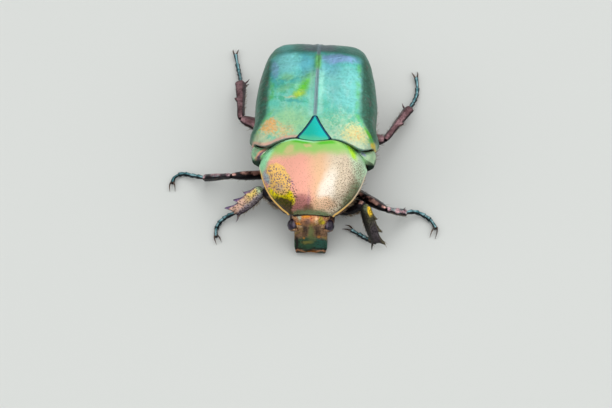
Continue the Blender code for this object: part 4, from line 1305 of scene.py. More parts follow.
        # Painted shade in the pits and dots.
        depth = board.depth()
        fine = board.noise(place, 26, 3)
        dots = board.cells(place, 9).rise(0.34, 0.14)
        board.shell(
            board.mix(colour, self.pit, (depth * 0.8).most(dots * 0.35)), 0.26 + 0.12 * fine + 0.2 * depth,
            fine * 0.5 - dots, 0.015, 0.15, 0.12,
        )


@dataclass(frozen=True)
class Lens(Finish):
    """The compound eyes: near black with a violet cast, a painted lilac highlight at the front, and fine
    facets.
    """

    colour: Rgb = (0.005, 0.003, 0.008)
    glow: Rgb = (0.03, 0.016, 0.045)
    # lilac and front: a painted highlight and where it sits.
    lilac: Rgb = (0.4, 0.3, 0.42)
    front: tuple = (1.3, -1.02)

    def paint(self, board: Board) -> None:
        """Paints the eyes, which lie at both sides of the face."""
        place = board.place()
        x, y, _ = board.parts(place)
        # The painted highlight's mask.
        off_x, off_y = (x.size() - self.front[0]) * 8, (y - self.front[1]) * 3.4
        front = (off_x * off_x + off_y * off_y).rise(1.4, 0.1)
        facets = board.cells(place, 26, 0.25)
        colour = board.mix(self.colour, self.glow, board.noise(place, 1.5, 2).rise(0.4, 0.7))
        board.set(
            Base_Color=board.mix(colour, self.lilac, front * 0.3),
            Roughness=0.16 + 0.16 * facets,
            Specular_IOR_Level=0.3,
            Coat_Weight=0.3,
            Coat_Roughness=0.06,
            Normal=board.bump(-facets, 0.005),
        )


@dataclass(frozen=True)
class BladeFinish(Finish):
    """A fore tibia: its colours run from the knee to the foot, with violet edges and dark teeth, a painted
    highlight patch, and painted shade on its underside and in its pits.
    """

    side: Side = Side.RIGHT
    knee: tuple = (-4.05, -2.22)
    ankle: tuple = (-6.3, -3.62)
    near: Rgb = (0.46, 0.6, 0.38)
    middle: Rgb = (0.8, 0.55, 0.26)
    far: Rgb = (0.72, 0.45, 0.34)
    inner: Rgb = (0.36, 0.32, 0.42)
    border: Rgb = (0.14, 0.09, 0.3)
    tooth: Rgb = (0.025, 0.018, 0.06)
    # below: painted shade colour of the underside.
    below: Rgb = (0.02, 0.014, 0.025)
    pit: Rgb = (0.02, 0.012, 0.02)
    # spark, spark_place and glow: a painted highlight patch, where it sits and how strong it is.
    spark: Rgb = (0.88, 0.66, 0.14)
    spark_place: tuple = (0.34, 0.1)
    glow: float = 0.6

    def paint(self, board: Board) -> None:
        """Paints the tibia by the place along it and across it."""
        place = board.place()
        bent = board.warped(place, 2.2, 0.35)
        x, y, _ = board.parts(bent)
        reach = np.array(self.ankle) - np.array(self.knee)
        length = float(np.linalg.norm(reach))
        way_x, way_y = (float(v) for v in reach / length)
        off_x, off_y = x - self.knee[0], y - self.knee[1]
        along = (off_x * way_x + off_y * way_y) * (1 / length)
        out = (off_y * way_x - off_x * way_y) * float(self.side.value)
        cloud = board.noise(place, 2.6, 3)
        fine = board.noise(place, 20, 3)
        dots = board.cells(board.vector("MULTIPLY", place, (1, 1, 0.6)), 7.5).rise(0.44, 0.26)
        lit_along, lit_out = self.spark_place
        colour = board.layers(
            bent, board.mix(self.near, self.middle, (along + 0.2 * cloud).rise(0.2, 0.42)),
            (self.far, (along + 0.3 * cloud).rise(0.62, 0.9)),
            # Painted highlight.
            (self.spark, (along.bell(lit_along, 0.14) * out.bell(lit_out, 0.17)).rise(0.2, 0.8) * self.glow),
            (self.inner, out.rise(-0.1, -0.34) * 0.8),
            (self.border, out.rise(0.24, 0.4) * 0.85),
            (self.tooth, out.rise(0.5, 0.66) * 0.9),
            # Painted shade on the underside, then in the pits and dots.
            (self.below, board.facing_up().rise(0.55, 0.15)),
            (self.pit, (dots * (0.6 + 0.4 * cloud)).most(board.depth() * 0.85)),
        )
        board.shell(colour, 0.26 + 0.14 * fine + 0.12 * dots, fine * 0.4 - dots, 0.016)


@dataclass(frozen=True)
class Horn(Finish):
    """Plain horny cuticle of the mouthparts and feelers, and of claws and spurs."""

    dark: Rgb = (0.05, 0.025, 0.015)
    light: Rgb = (0.16, 0.06, 0.02)
    roughness: float = 0.3

    def paint(self, board: Board) -> None:
        """Paints the cuticle."""
        place = board.place()
        fine = board.noise(place, 9, 4)
        board.set(
            Base_Color=board.mix(self.dark, self.light, board.noise(place, 2, 2).rise(0.35, 0.65)),
            Roughness=self.roughness + 0.15 * fine,
            Coat_Weight=0.5,
            Coat_Roughness=0.12,
            Normal=board.bump(fine, 0.008),
        )


@dataclass(frozen=True)
class HairFinish(Finish):
    """Light brown hairs."""

    colour: Rgb = (0.3, 0.22, 0.13)
    dark: Rgb = (0.14, 0.09, 0.05)

    def paint(self, board: Board) -> None:
        """Paints the hairs."""
        shade = board.noise(board.place(), 3, 2).rise(0.3, 0.7)
        board.set(Base_Color=board.mix(self.dark, self.colour, shade), Roughness=0.45, Coat_Weight=0.2)


SHIELD = ShieldFinish("shield_copper")
WING_CASES = WingCaseFinish("wing_case_green")
SCUTELLUM = ScutellumFinish("scutellum_turquoise")
SIDES = SidePlateFinish("side_plate_green")
# For each of these Cuticles: main and second are painted light where the surface faces up, below is painted
# shade, and on the legs and feet the pale second tone and the glints are painted highlights.
TRUNK = Cuticle(
    "trunk_bronze", main=(0.2, 0.1, 0.06), second=(0.3, 0.14, 0.09), below=(0.11, 0.06, 0.04),
    pit=(0.02, 0.01, 0.012), roughness=0.3, grain=5,
)
BELLY_PLATES = Cuticle(
    "belly_bronze", main=(0.22, 0.11, 0.06), second=(0.32, 0.14, 0.09), below=(0.15, 0.08, 0.05),
    pit=(0.02, 0.01, 0.012), roughness=0.26, grain=5,
)
END_PLATE = Cuticle(
    "end_plate", main=(0.08, 0.16, 0.07), second=(0.2, 0.11, 0.06), below=(0.05, 0.09, 0.04),
    pit=(0.02, 0.03, 0.02), roughness=0.34, grain=9,
)
LEGS = Cuticle(
    "leg_black", main=(0.3, 0.13, 0.12), second=(0.8, 0.44, 0.38), below=(0.01, 0.008, 0.011),
    pit=(0.008, 0.006, 0.009), roughness=0.22, grain=8, patches=1.5, low=0.8, high=1.12, mottle=1.3,
)
SHINS = Cuticle(
    "shin_black", main=(0.34, 0.18, 0.24), second=(0.72, 0.44, 0.48), below=(0.01, 0.008, 0.012),
    pit=(0.008, 0.006, 0.009), roughness=0.22, grain=8, patches=1.5, low=0.6, high=0.96, mottle=1.3,
    glint=(0.16, 0.42, 0.42), glints=0.7,
)
HIND_LEGS = Cuticle(
    "leg_umber", main=(0.17, 0.075, 0.085), second=(0.36, 0.2, 0.22), below=(0.026, 0.013, 0.017),
    pit=(0.01, 0.006, 0.009), roughness=0.26, grain=8, patches=1.2, low=0.55, high=1.05,
)
FEET = Cuticle(
    "foot_dark", main=(0.06, 0.19, 0.22), second=(0.26, 0.45, 0.5), below=(0.007, 0.01, 0.014),
    pit=(0.006, 0.008, 0.01), roughness=0.2, grain=9, patches=1.8, low=0.62, high=1,
)
BLADES = BladeFinish("blade_lilac")
OLIVE_BLADES = BladeFinish(
    "blade_olive", side=Side.LEFT, knee=(4.16, -3.82), ankle=(5.18, -6.29), near=(0.2, 0.24, 0.15),
    middle=(0.07, 0.066, 0.04), far=(0.062, 0.05, 0.058), inner=(0.06, 0.058, 0.052),
    border=(0.1, 0.085, 0.045), tooth=(0.035, 0.025, 0.03), below=(0.014, 0.012, 0.01),
    pit=(0.012, 0.01, 0.008), spark=(0.9, 0.58, 0.03), spark_place=(0.27, 0.2), glow=1,
)
FACE_COPPER = FaceFinish("face_copper")
EYES = Lens("eye_violet_black")
MOUTH = Horn(
    "mouth_horn", dark=(0.16, 0.05, 0.012), light=(0.42, 0.15, 0.03),
)
FEELERS = Horn(
    "feeler_horn", dark=(0.03, 0.016, 0.012), light=(0.12, 0.05, 0.025),
)
CLAWS = Horn(
    "claw_dark", dark=(0.02, 0.012, 0.01), light=(0.09, 0.04, 0.02), roughness=0.22,
)
HAIRS = HairFinish("brown_hair")


# The shell.


@dataclass
class WingCases:
    """The two elytra and the scutellum between them. Sizes are in mm, places along them in shares."""

    length: float = 10.95
    half_width: float = 5.15
    thickness: float = 0.45
    front_gap: float = 0.17
    seam: float = 0.03
    fade: float = 1.6
    rim: float = 0.07
    rows: int = 211
    columns: int = 143
    widths: Stations = (
        (0, 0.92), (0.05, 0.985), (0.1, 1), (0.17, 0.97), (0.25, 0.945), (0.34, 0.95), (0.44, 0.955),
        (0.56, 0.935), (0.67, 0.9), (0.77, 0.855), (0.86, 0.79), (0.93, 0.71), (0.975, 0.59), (1, 0.42),
    )
    tops: Stations = (
        (0, 6.5), (0.15, 6.62), (0.35, 6.7), (0.55, 6.56), (0.7, 6.25), (0.8, 5.88), (0.88, 5.4),
        (0.94, 4.85), (0.98, 4.3), (1, 3.9),
    )
    edges: Stations = (
        (0, 4.5), (0.12, 4.35), (0.3, 4.2), (0.5, 3.75), (0.75, 3.5), (0.92, 3.55), (1, 3.7),
    )
    powers: Stations = ((0, 2.75), (0.2, 3.1), (0.7, 3.3), (0.88, 3.5), (1, 3))
    front: Stations = (
        (0, 0), (0.8, 0.1), (1.5, 0.22), (2.2, 0.13), (3, -0.15), (3.5, -0.36), (3.9, -0.4),
        (4.3, -0.25), (4.9, 0.3),
    )
    swellings: tuple = (
        (3.9, 1.3, 0.12, 0.7), (2.6, 8.6, 0.15, 0.6), (2, 5.2, 0.06, 0.5), (0.9, 5, -0.1, 0.5),
        (0.9, 7, -0.12, 0.6), (1.5, 6.4, -0.06, 0.6),
    )
    scutellum_length: float = 2.1
    scutellum_half_width: float = 1.28
    scutellum_tip: float = 0.1
    scutellum_hollow: float = 1.12
    scutellum_start: float = 0.3
    joint: float = 0.13

    def under(self, y: float) -> tuple[float, float, float]:
        """What bounds the body under the elytra.

        Args:
            y: The place along the body.

        Returns:
            Half the width, the height of the side edge and the height of the top.
        """
        place = max(y, 0) / self.length
        width, edge, top = (smooth(stations, place) for stations in (self.widths, self.edges, self.tops))
        return width * self.half_width, edge, top

    def scutellum_edge(self, y: float) -> float:
        """Half the width of the scutellum.

        Args:
            y: The place along the body.

        Returns:
            The half width in mm, less than nothing past the tip.
        """
        share = (y - self.scutellum_start) / self.scutellum_length
        if share >= 1:
            return -1
        reach = self.scutellum_half_width - self.scutellum_tip
        return self.scutellum_tip + reach * max(1 - share, 0) ** self.scutellum_hollow

    def surface(self, rows: int, columns: int) -> Array:
        """The upper surface of the left elytron.

        Args:
            rows: Points from base to tip.
            columns: Points from the seam to the side edge.

        Returns:
            A grid of points.
        """
        shares = 1 - (1 - np.linspace(0, 1, rows)) ** 1.4
        grid = np.empty((rows, columns, 3))
        for row, share in enumerate(shares):
            y = self.front_gap + share * (self.length - self.front_gap)
            place = y / self.length
            width = smooth(self.widths, place) * self.half_width
            start = max(self.seam, self.scutellum_edge(y) + self.joint)
            x, z = arch(
                width, smooth(self.tops, place), smooth(self.edges, place), smooth(self.powers, place),
                np.linspace(0, 1, columns), start,
            )
            fade = max(0, 1 - (y - self.front_gap) / self.fade)
            grid[row] = np.stack([x, y + smooth(self.front, x) * fade, z], 1)
        for px, py, height, reach in self.swellings:
            away = (grid[..., 0] - px) ** 2 + (grid[..., 1] - py) ** 2
            grid[..., 2] += height * np.exp(-away / (2 * reach ** 2))
        return grid

    def relief(self, grid: Array, side: Side) -> tuple[Array, Array]:
        """The ridges, hollows and marks of an elytron.

        Args:
            grid: Its surface.
            side: Which elytron it is, as the marks differ.

        Returns:
            The rise at each point, and the depth of the marks from 0 to 1.
        """
        x, y = grid[..., 0], grid[..., 1]
        behind = step_between(2.2, 3.4, y)
        rise = 0.03 * bump_at(x, 0.18, 0.13) * behind
        rise = rise - 0.03 * bump_at(x, 0.52, 0.25) * step_between(3.5, 6, y)
        column = np.linspace(0, 1, grid.shape[1])[None, :]
        rise = rise + 0.05 * bump_at(column, 1, 0.018) - 0.03 * bump_at(column, 0.955, 0.018)
        rib = 0.012 * bump_at(x, 2.1 - 0.05 * y, 0.3) * step_between(1.5, 3, y)
        rise = rise + rib * step_between(9.5, 8, y)
        wave = 0.012 * np.sin(y * 2.9 + 1.3 * np.sin(x * 1.7 + side.value))
        rise = rise + wave * np.sin(x * 2.3 + 0.4 * y)
        wave = 0.006 * np.sin(y * 6.1 + 2 * np.sin(x * 3.1))
        rise = rise + wave * np.sin(x * 5.3 + side.value + 1.1 * y)
        along = pits(x + 0.35 * side.value, y * 0.62, 0.26, 0.085, 0.8, 3 + side.value)
        core = pits(x + 0.35 * side.value, y * 0.62 + 0.035, 0.26, 0.06, 0.8, 3 + side.value)
        marks = np.clip(along - 0.8 * core, 0, 1)
        marks = marks * (0.35 + 0.65 * step_between(0.4, 1.2, x))
        return rise - 0.016 * marks, marks

    def build(self) -> None:
        """Makes both elytra."""
        plain = self.surface(fitted(self.rows), fitted(self.columns))
        for side in Side:
            rise, pitted = self.relief(plain, side)
            outer, inner = shell(plain, rise, self.rim, self.thickness)
            inner[..., 0] = np.maximum(inner[..., 0], coarse(outer)[:, :1, 0])
            flip = side.flip
            shape = Shape()
            shape.add_plate(outer * flip, inner * flip, edge_marks(plain, pitted, False))
            shape.make(f"wing_case_{side.word}", BODY, WING_CASES, "elytra_green", [f"elytron_{side.word}"])

    def build_scutellum(self) -> None:
        """Makes the scutellum."""
        rows, columns = 55, 47
        sides = np.linspace(-1, 1, columns)
        outer = np.empty((rows, columns, 3))
        for row, share in enumerate(np.linspace(0, 1, rows)):
            y = self.scutellum_start - 0.1 + share * (self.scutellum_length + 0.06)
            half = max(self.scutellum_edge(max(y, self.scutellum_start)), 0.05) - self.rim * 0.5
            x = sides * half
            z = smooth(self.tops, y / self.length) + 0.02 - 0.012 * (x / half) ** 2
            z = z - 0.03 * bump_at(x, 0, 0.5) * bump_at(y, 1.2, 0.9)
            fade = max(0, 1 - (y - self.front_gap) / self.fade)
            outer[row] = np.stack([x, y + smooth(self.front, np.abs(x)) * fade, z], 1)
        outer = rolled(outer, 0.06)
        inner = coarse(outer) - np.array([0, 0, self.thickness])
        shape = Shape()
        plain = outer[RIM_STEPS:-RIM_STEPS, RIM_STEPS:-RIM_STEPS]
        shape.add_plate(outer, inner, edge_marks(plain, np.zeros(plain.shape[:2]), True))
        shape.make("scutellum_plate", BODY, SCUTELLUM, "scutellum_teal", ["scutellum"])


@dataclass
class ShieldPlate:
    """The pronotum."""

    length: float = 5.2
    half_width: float = 4.25
    thickness: float = 0.45
    rim: float = 0.06
    rows: int = 205
    columns: int = 363
    overhang: float = 0.1
    fade: float = 1.6
    power: float = 2.3
    widths: Stations = (
        (0, 0.42), (0.06, 0.5), (0.15, 0.6), (0.35, 0.79), (0.55, 0.92), (0.72, 0.98), (0.86, 1),
        (0.95, 0.995), (1, 0.985),
    )
    tops: Stations = ((0, 4.1), (0.15, 4.88), (0.4, 5.68), (0.65, 6.2), (0.85, 6.45), (1, 6.5))
    edges: Stations = ((0, 3.45), (0.15, 3.5), (0.4, 3.75), (0.7, 4.15), (1, 4.4))
    base: Stations = (
        (0, 0), (0.8, 0.1), (1.5, 0.22), (2.2, 0.13), (3, -0.15), (3.7, -0.55), (4.3, -1),
    )
    front: Stations = ((0, 0.05), (1, 0.06), (1.5, 0.12), (1.9, 0.3))

    def surface(self, rows: int, columns: int) -> Array:
        """The upper surface of the pronotum.

        Args:
            rows: Points from the front edge back to the base.
            columns: Points from the right edge to the left one.

        Returns:
            A grid of points.
        """
        sides = np.linspace(-1, 1, columns)
        grid = np.empty((rows, columns, 3))
        for row, share in enumerate(np.linspace(0, 1, rows)):
            y = (share - 1) * self.length
            width = smooth(self.widths, share) * self.half_width
            top, edge = smooth(self.tops, share), smooth(self.edges, share)
            x, z = arch(width, top, edge, self.power, np.abs(sides))
            x = np.sign(sides) * x
            at_base = max(0, 1 + y / self.fade)
            at_front = max(0, 1 - (y + self.length) / self.fade)
            shift = (smooth(self.base, np.abs(x)) + self.overhang) * at_base
            shift = shift + smooth(self.front, np.abs(x)) * at_front
            grid[row] = np.stack([x, y + shift, z], 1)
        return grid

    def relief(self, grid: Array) -> tuple[Array, Array]:
        """The beaded rim and the pits of the pronotum.

        Args:
            grid: Its surface.

        Returns:
            The rise at each point, and the depth of the pits from 0 to 1.
        """
        way = ways(grid, 1)
        from_edge = np.minimum(way, way[:, -1:] - way)
        share = np.linspace(0, 1, len(grid))[:, None]
        bead = 0.05 * bump_at(from_edge, 0.02, 0.09) - 0.045 * bump_at(from_edge, 0.24, 0.09)
        rise = bead * step_between(1, 0.9, share)
        across = way - way[:, -1:] / 2
        wide = np.abs(across) / (way[:, -1:] / 2)
        chance = 0.3 + 1.3 * step_between(0.2, 0.65, wide) + 0.5 * step_between(0.5, 0.1, share)
        chance = np.clip(chance, 0, 0.97)
        chance = chance * (0.45 + 0.55 * step_between(1, 0.72, share))
        chance = chance * step_between(0.18, 0.32, from_edge)
        radius = 0.036 + 0.014 * step_between(0.3, 0.9, wide)
        depth = pits(across, grid[..., 1] * 1.05, 0.128, radius, chance, 5)
        small = pits(across + 3.1, grid[..., 1], 0.11, 0.022, chance * 0.6, 9)
        depth = np.maximum(depth, 0.5 * small)
        return rise - 0.02 * depth, depth

    def build(self) -> None:
        """Makes the pronotum."""
        plain = self.surface(fitted(self.rows), fitted(self.columns))
        rise, depth = self.relief(plain)
        shape = Shape()
        shape.add_plate(*shell(plain, rise, self.rim, self.thickness), edge_marks(plain, depth, True))
        shape.make("shield_plate", BODY, SHIELD, "pronotum_copper", ["pronotum"])


@dataclass
class Trunk:
    """What the shells cover: prothorax, thorax, abdomen, end plate and side plates."""

    case: WingCases
    shield: ShieldPlate
    belly: Stations = (
        (-4.6, 2.3), (-3, 1.35), (-1.2, 0.75), (0.4, 0.2), (2.2, 0), (4, 0.1), (6, 0.4), (8, 0.8),
        (9.3, 1.25), (10.2, 2), (10.8, 2.8),
    )
    thorax_sides: Stations = ((-0.7, 4), (0, 4.55), (1, 4.85), (2.5, 4.8), (4.4, 4.65))
    plate_out: Stations = (
        (0, 3.1), (0.2, 3.9), (0.4, 4.5), (0.55, 4.8), (0.7, 4.88), (0.85, 4.75), (1, 4.4),
    )
    plate_heights: Stations = (
        (0, 5.6), (0.2, 5.45), (0.4, 5.08), (0.55, 4.68), (0.7, 4.3), (0.85, 3.9), (1, 3.5),
    )
    knob: Point = (0, -0.75, 0.62)
    knob_radius: float = 0.5
    inset: float = 0.95
    drop: float = 0.2
    sternites: int = 5

    def ring(self, y: float, low: float, belly: float, ledge: float, high: float, top: float) -> Array:
        """A section of the trunk.

        Args:
            y: Where it lies.
            low: Half width of its rounded belly.
            belly: Height of the belly's middle.
            ledge: Height of the ledge under the shell.
            high: Half width of the arch inside the shell.
            top: Height of that arch's middle.

        Returns:
            The points of the section.
        """
        low_x, low_z = arch(low, belly, ledge, 2.1, np.linspace(0, 1, 29))
        high_x, high_z = arch(high, top, ledge, 2.4, np.linspace(1, 0, 12))
        x, z = np.concatenate([low_x, high_x]), np.concatenate([low_z, high_z])
        x, z = np.concatenate([x, -x[-2:0:-1]]), np.concatenate([z, z[-2:0:-1]])
        return np.stack([x, y + np.zeros_like(x), z], 1)

    def prothorax_rings(self) -> list:
        """Sections under the pronotum."""
        rings = []
        for y in np.linspace(-4.5, -0.85, 40):
            share = 1 + y / self.shield.length
            width = smooth(self.shield.widths, share) * self.shield.half_width
            ledge = smooth(self.shield.edges, share) - self.drop
            top = smooth(self.shield.tops, share) - 0.85
            rings.append(self.ring(y, width - 0.1, smooth(self.belly, y), ledge, width - self.inset, top))
        return rings

    def thorax_rings(self) -> list:
        """Sections under the front half of the elytra, with a groove down the middle."""
        rings = []
        for y in np.linspace(-0.75, 4.5, 60):
            width, edge, top = self.case.under(y)
            low = smooth(self.thorax_sides, y)
            ledge = edge - self.drop
            ring = self.ring(y, low, smooth(self.belly, y), ledge, min(width, low) - self.inset, top - 1)
            low_part = ring[:, 2] < ledge
            ring[:, 2] += low_part * 0.06 * bump_at(ring[:, 0], 0, 0.1) * step_between(0.3, 1.2, y)
            rings.append(ring)
        return rings

    def tucked(self, y: float) -> Array:
        """A narrowed section of the abdomen, hidden in what lies in front of it.

        Args:
            y: Where it lies.

        Returns:
            The points of the section.
        """
        width, edge, top = self.case.under(y)
        low, ledge = (width - 0.1) * 0.93, edge - 0.25
        belly = ledge + (smooth(self.belly, y) - ledge) * 0.93
        return self.ring(y, low, belly, ledge, low - self.inset, top - 1.2)

    def abdomen_rings(self) -> list:
        """Sections of the abdomen, tucked into the thorax, where each plate laps over the next one."""
        rings = [self.tucked(4.4)]
        joints = np.linspace(4.65, 9.35, self.sternites + 1)
        for front, back in zip(joints, joints[1:]):
            for share in (0, 0.02, 0.05, 0.12, 0.25, 0.45, 0.65, 0.82, 0.92, 0.97, 0.99):
                y = front + share * (back - front)
                width, edge, top = self.case.under(y)
                ledge = edge - self.drop
                lap = 0.985 + 0.03 * share ** 0.5 - 0.02 * (share > 0.98)
                belly = ledge + (smooth(self.belly, y) - ledge) * lap
                rings.append(self.ring(y, (width - 0.1) * lap, belly, ledge, width - self.inset, top - 1))
        return rings

    def end_rings(self) -> list:
        """Sections of the end plate."""
        start, end = 9.45, 10.62
        width, edge, _ = self.case.under(start)
        low, ledge = width - 0.1, edge - self.drop
        belly = smooth(self.belly, start)
        rings = []
        for share in (-0.2, *np.sin(np.linspace(0, math.pi / 2, 24))):
            size = math.sqrt(max(1 - share ** 2, 0.01)) * (0.93 if share < 0 else 1)
            middle = belly + (ledge - belly) * (0.5 + 0.35 * share)
            angle = turns(64)
            x = low * 0.97 * size * np.cos(angle)
            half = np.where(np.sin(angle) > 0, ledge - middle, middle - belly)
            z = middle + np.sin(angle) * half * size
            rings.append(np.stack([x, np.full_like(x, start + share * (end - start)), z], 1))
        return rings

    def side_plate(self, side: Side) -> None:
        """Makes one mesepimeron.

        Args:
            side: The side that it lies at.
        """
        rows, columns = 71, 31
        shares = np.linspace(0, 1, rows)
        out = smooth(self.plate_out, shares)
        bound = smooth(self.shield.base, out) + 0.2
        front = -0.75 + np.log1p(np.exp(12 * (bound + 0.75))) / 12
        back = smooth(self.case.front, out) + 0.28
        across = np.linspace(0, 1, columns)
        y = front[:, None] + across * np.maximum(back - front, 0.3)[:, None]
        bulge = np.sin(across * math.pi) * step_between(0.1, 0.5, shares)[:, None]
        x = out[:, None] + 0.12 * bulge
        height = smooth(self.plate_heights, shares)[:, None] + 0.05 * bulge
        outer = rolled(np.stack([x, y, height], 2), 0.05)
        inner = coarse(outer) - np.array([0.45, 0, 0.25])
        flip = side.flip
        shape = Shape()
        shape.add_plate(outer * flip, inner * flip)
        shape.make(f"side_plate_{side.word}", BODY, SIDES, "side_green", [f"mesepimeron_{side.word}"])

    def build(self) -> None:
        """Makes the trunk's pieces."""
        for name, rings, finish, slot in (
            ("prothorax", self.prothorax_rings(), TRUNK, "under_bronze"),
            ("thorax", self.thorax_rings(), TRUNK, "under_bronze"),
            ("abdomen", self.abdomen_rings(), BELLY_PLATES, "under_bronze"),
            ("pygidium", self.end_rings(), END_PLATE, "side_green"),
        ):
            shape = Shape()
            shape.add_tube(np.array(rings))
            if name == "thorax":
                radius = self.knob_radius
                shape.add_tube(ball_rings(self.knob, (radius * 1.3, radius, radius * 0.8), (0, 1, 0)))
            shape.make(f"{name}_core", BODY, finish, slot, [name])
        for side in Side:
            self.side_plate(side)
        self.hairs()

    def hairs(self) -> None:
        """Sets hairs on the sides of the underside, along the plates of the abdomen and on the end plate."""
        coat = Coat("body_hairs")
        skins = (self.prothorax_rings(), self.thorax_rings(), self.abdomen_rings()[1:], self.end_rings()[1:])
        builds = (HairBuild(300, 0.42, 0.6, 11), HairBuild(900, 0.6, 0.7, 12), HairBuild(520, 0.34, 0.4, 13),
                  HairBuild(240, 0.26, 0.4, 14))
        for k, (rings, build) in enumerate(zip(skins, builds)):
            skin = np.array(rings)
            normal = upward(skin)
            wide = np.abs(skin[..., 0]) / np.abs(skin[..., 0]).max(axis=1, keepdims=True)
            weight = (0.1 + wide ** 3) * step_between(0.25, 0, normal[..., 2])
            if k == 2:
                weight *= (0.15 + (np.arange(len(skin)) % 11 > 6))[:, None]
            if k == 3:
                weight = step_between(0.1, 0.4, normal[..., 1])
            coat.grow(skin, weight, (0, 1, -0.15), build, (0.02, 0.98, 0.02 + 0.25 * k, 0.22 + 0.25 * k))
        coat.make(BODY, "under_bronze")


# The head.


@dataclass
class Head:
    """The head capsule with its clypeus, eyes, mouthparts and feelers, in the frame of the face."""

    stations: tuple = (
        (-1.3, 1.3, -1, 2, 2.2), (-0.6, 1.42, -0.68, 2.1, 2.2), (0.1, 1.52, -0.28, 2.2, 2.3),
        (0.5, 1.54, 0, 2.2, 2.4), (0.9, 1.5, 0.1, 2.1, 2.5), (1.5, 1.4, 0.05, 1.75, 2.7),
        (2, 1.33, 0, 1.2, 3.2), (2.8, 1.33, 0, 0.75, 3.8), (3.35, 1.29, 0.02, 0.52, 4.5),
        (3.64, 1.18, 0.05, 0.42, 5),
    )
    notch: float = 0.14
    notch_half_width: float = 0.42
    palp: tuple = ((0.3, -2.4, -1.3), (0.42, -2.6, -1.5), (0.42, -2.75, -1.62))
    eye: Point = (1.43, -1.38, -0.5)
    eye_radii: Point = (0.44, 0.54, 0.46)
    antenna: tuple = ((1.1, -1.75, -0.8), (1.38, -1.85, -1.15), (1.36, -2, -1.45), (1.32, -2.12, -1.65))
    club_way: Point = (0.1, 0.12, -0.9)
    club_fan: Point = (0.6, 0.8, 0)
    rings: int = 150
    sides: int = 132

    def capsule(self) -> None:
        """Makes the head capsule and clypeus as one surface."""
        table = np.array(self.stations)
        rings, depths = [], []
        for down in np.linspace(table[0, 0], table[-1, 0] + 0.02, self.rings // COARSE):
            width, rise, depth, power = (smooth(table[:, [0, i]], down) for i in (1, 2, 3, 4))
            count = self.sides // COARSE
            angle = turns(count)
            cos, sin = np.cos(angle), np.sin(angle)
            x = width * np.sign(cos) * np.abs(cos) ** (2 / power)
            z = (rise - depth) / 2 + (rise + depth) / 2 * np.sign(sin) * np.abs(sin) ** (2 / power)
            notch = self.notch * np.exp(-((x / self.notch_half_width) ** 2))
            end = max(0, (down - 3.2) / 0.44)
            y = -down + notch * end ** 2 + 0.06 * (x / width) ** 4 * end
            front = step_between(-0.2, 0.5, sin)
            wide = np.abs(x)
            form = 0.09 * bump_at(wide, 0, 0.18) * bump_at(down, 1.5, 0.7)
            form -= 0.16 * bump_at(wide, 0.56, 0.28) * bump_at(down, 1.6, 0.5)
            dish = 0.14 * bump_at(wide, 0, 0.85) * step_between(2.1, 2.7, down)
            form -= dish * step_between(3.62, 3.3, down)
            form += 0.12 * bump_at(wide, width - 0.05, 0.12) * step_between(1.9, 2.5, down)
            form += 0.12 * bump_at(down, 3.56, 0.09)
            z = z + form * front
            ring = np.stack([x, y, z], 1)
            rings.append(ring)
            chance = 0.75 * step_between(0.1, 0.4, wide + 0.2) * step_between(3.6, 3.3, down)
            depths.append(pits(x + 5, y, 0.15, 0.05, chance, 2) * front)
        rings, depths = np.array(rings), np.array(depths)
        rings[..., 2] -= 0.02 * depths
        shape = Shape()
        shape.add_tube(rings, depths)
        for side in Side:
            x, y, z = self.eye
            root = ((x - 0.35) * side.value, y - 0.16, z + 0.4)
            tip = ((x + 0.34) * side.value, y - 0.3, z + 0.24)
            shape.add_tube(spike_rings(root, tip, 0.13, (0, 0.05, 0.05)))
        shape.make("head_capsule", FACE, FACE_COPPER, "head_bronze", ["head"])

    def eyes(self) -> None:
        """Makes the two eyes."""
        x, y, z = self.eye
        for side in Side:
            shape = Shape()
            shape.add_tube(ball_rings((x * side.value, y, z), self.eye_radii, (1, 0, 0), 40, 48))
            shape.make(f"eyeball_{side.word}", FACE, EYES, "eye_black", [f"eye_{side.word}"])

    def mouth(self) -> None:
        """Makes the labrum, the jaws behind it and the palps."""
        shape = Shape()
        shape.add_tube(ball_rings((0, -2.35, -1.25), (0.6, 0.5, 0.42)))
        shape.add_tube(ball_rings((0, -3.25, -0.6), (0.62, 0.4, 0.3)))
        for side in Side:
            path = even_path(np.array(self.palp) * side.flip, 22)
            radii = 0.2 + 0.05 * np.sin(np.linspace(0, 3 * math.pi, 22)) ** 2
            radii[-4:] *= (0.95, 0.8, 0.6, 0.3)
            shape.add_tube(tube_rings(path, (1, 0, 0), radii, radii, 16))
        shape.make("mouth_pieces", FACE, MOUTH, "mouth_amber", ["mouthparts"])

    def feelers(self) -> None:
        """Makes the two folded feelers, each with its club of three leaves."""
        for side in Side:
            flip = side.flip
            path = even_path(self.antenna, 64)
            beads = np.abs(np.sin(np.linspace(0, 7 * math.pi, 64)))
            radii = 0.17 + 0.09 * beads ** 0.6
            shape = Shape()
            shape.add_tube(tube_rings(path * flip, (0, 0, 1), radii, radii, 20))
            for turn in (-0.3, 0, 0.3):
                way = unit(np.array(self.club_way) + turn * np.array(self.club_fan)) * flip
                shares = np.linspace(0, 1, 26)
                leaf = np.array(self.antenna[-1]) * flip + np.outer(-0.15 + 1.3 * shares, way)
                form = np.sin(np.clip(shares, 0.02, 0.985) * math.pi) ** 0.5
                broad_way = np.cross(way, np.array(self.club_fan) * flip)
                shape.add_tube(tube_rings(leaf, broad_way, 0.38 * form + 0.02, 0.12 * form + 0.01, 20))
            shape.make(f"feeler_{side.word}", FACE, FEELERS, "feeler_dark", [f"antenna_{side.word}"])

    def build(self) -> None:
        """Makes the head's pieces."""
        self.capsule()
        self.eyes()
        self.mouth()
        self.feelers()


# The legs.


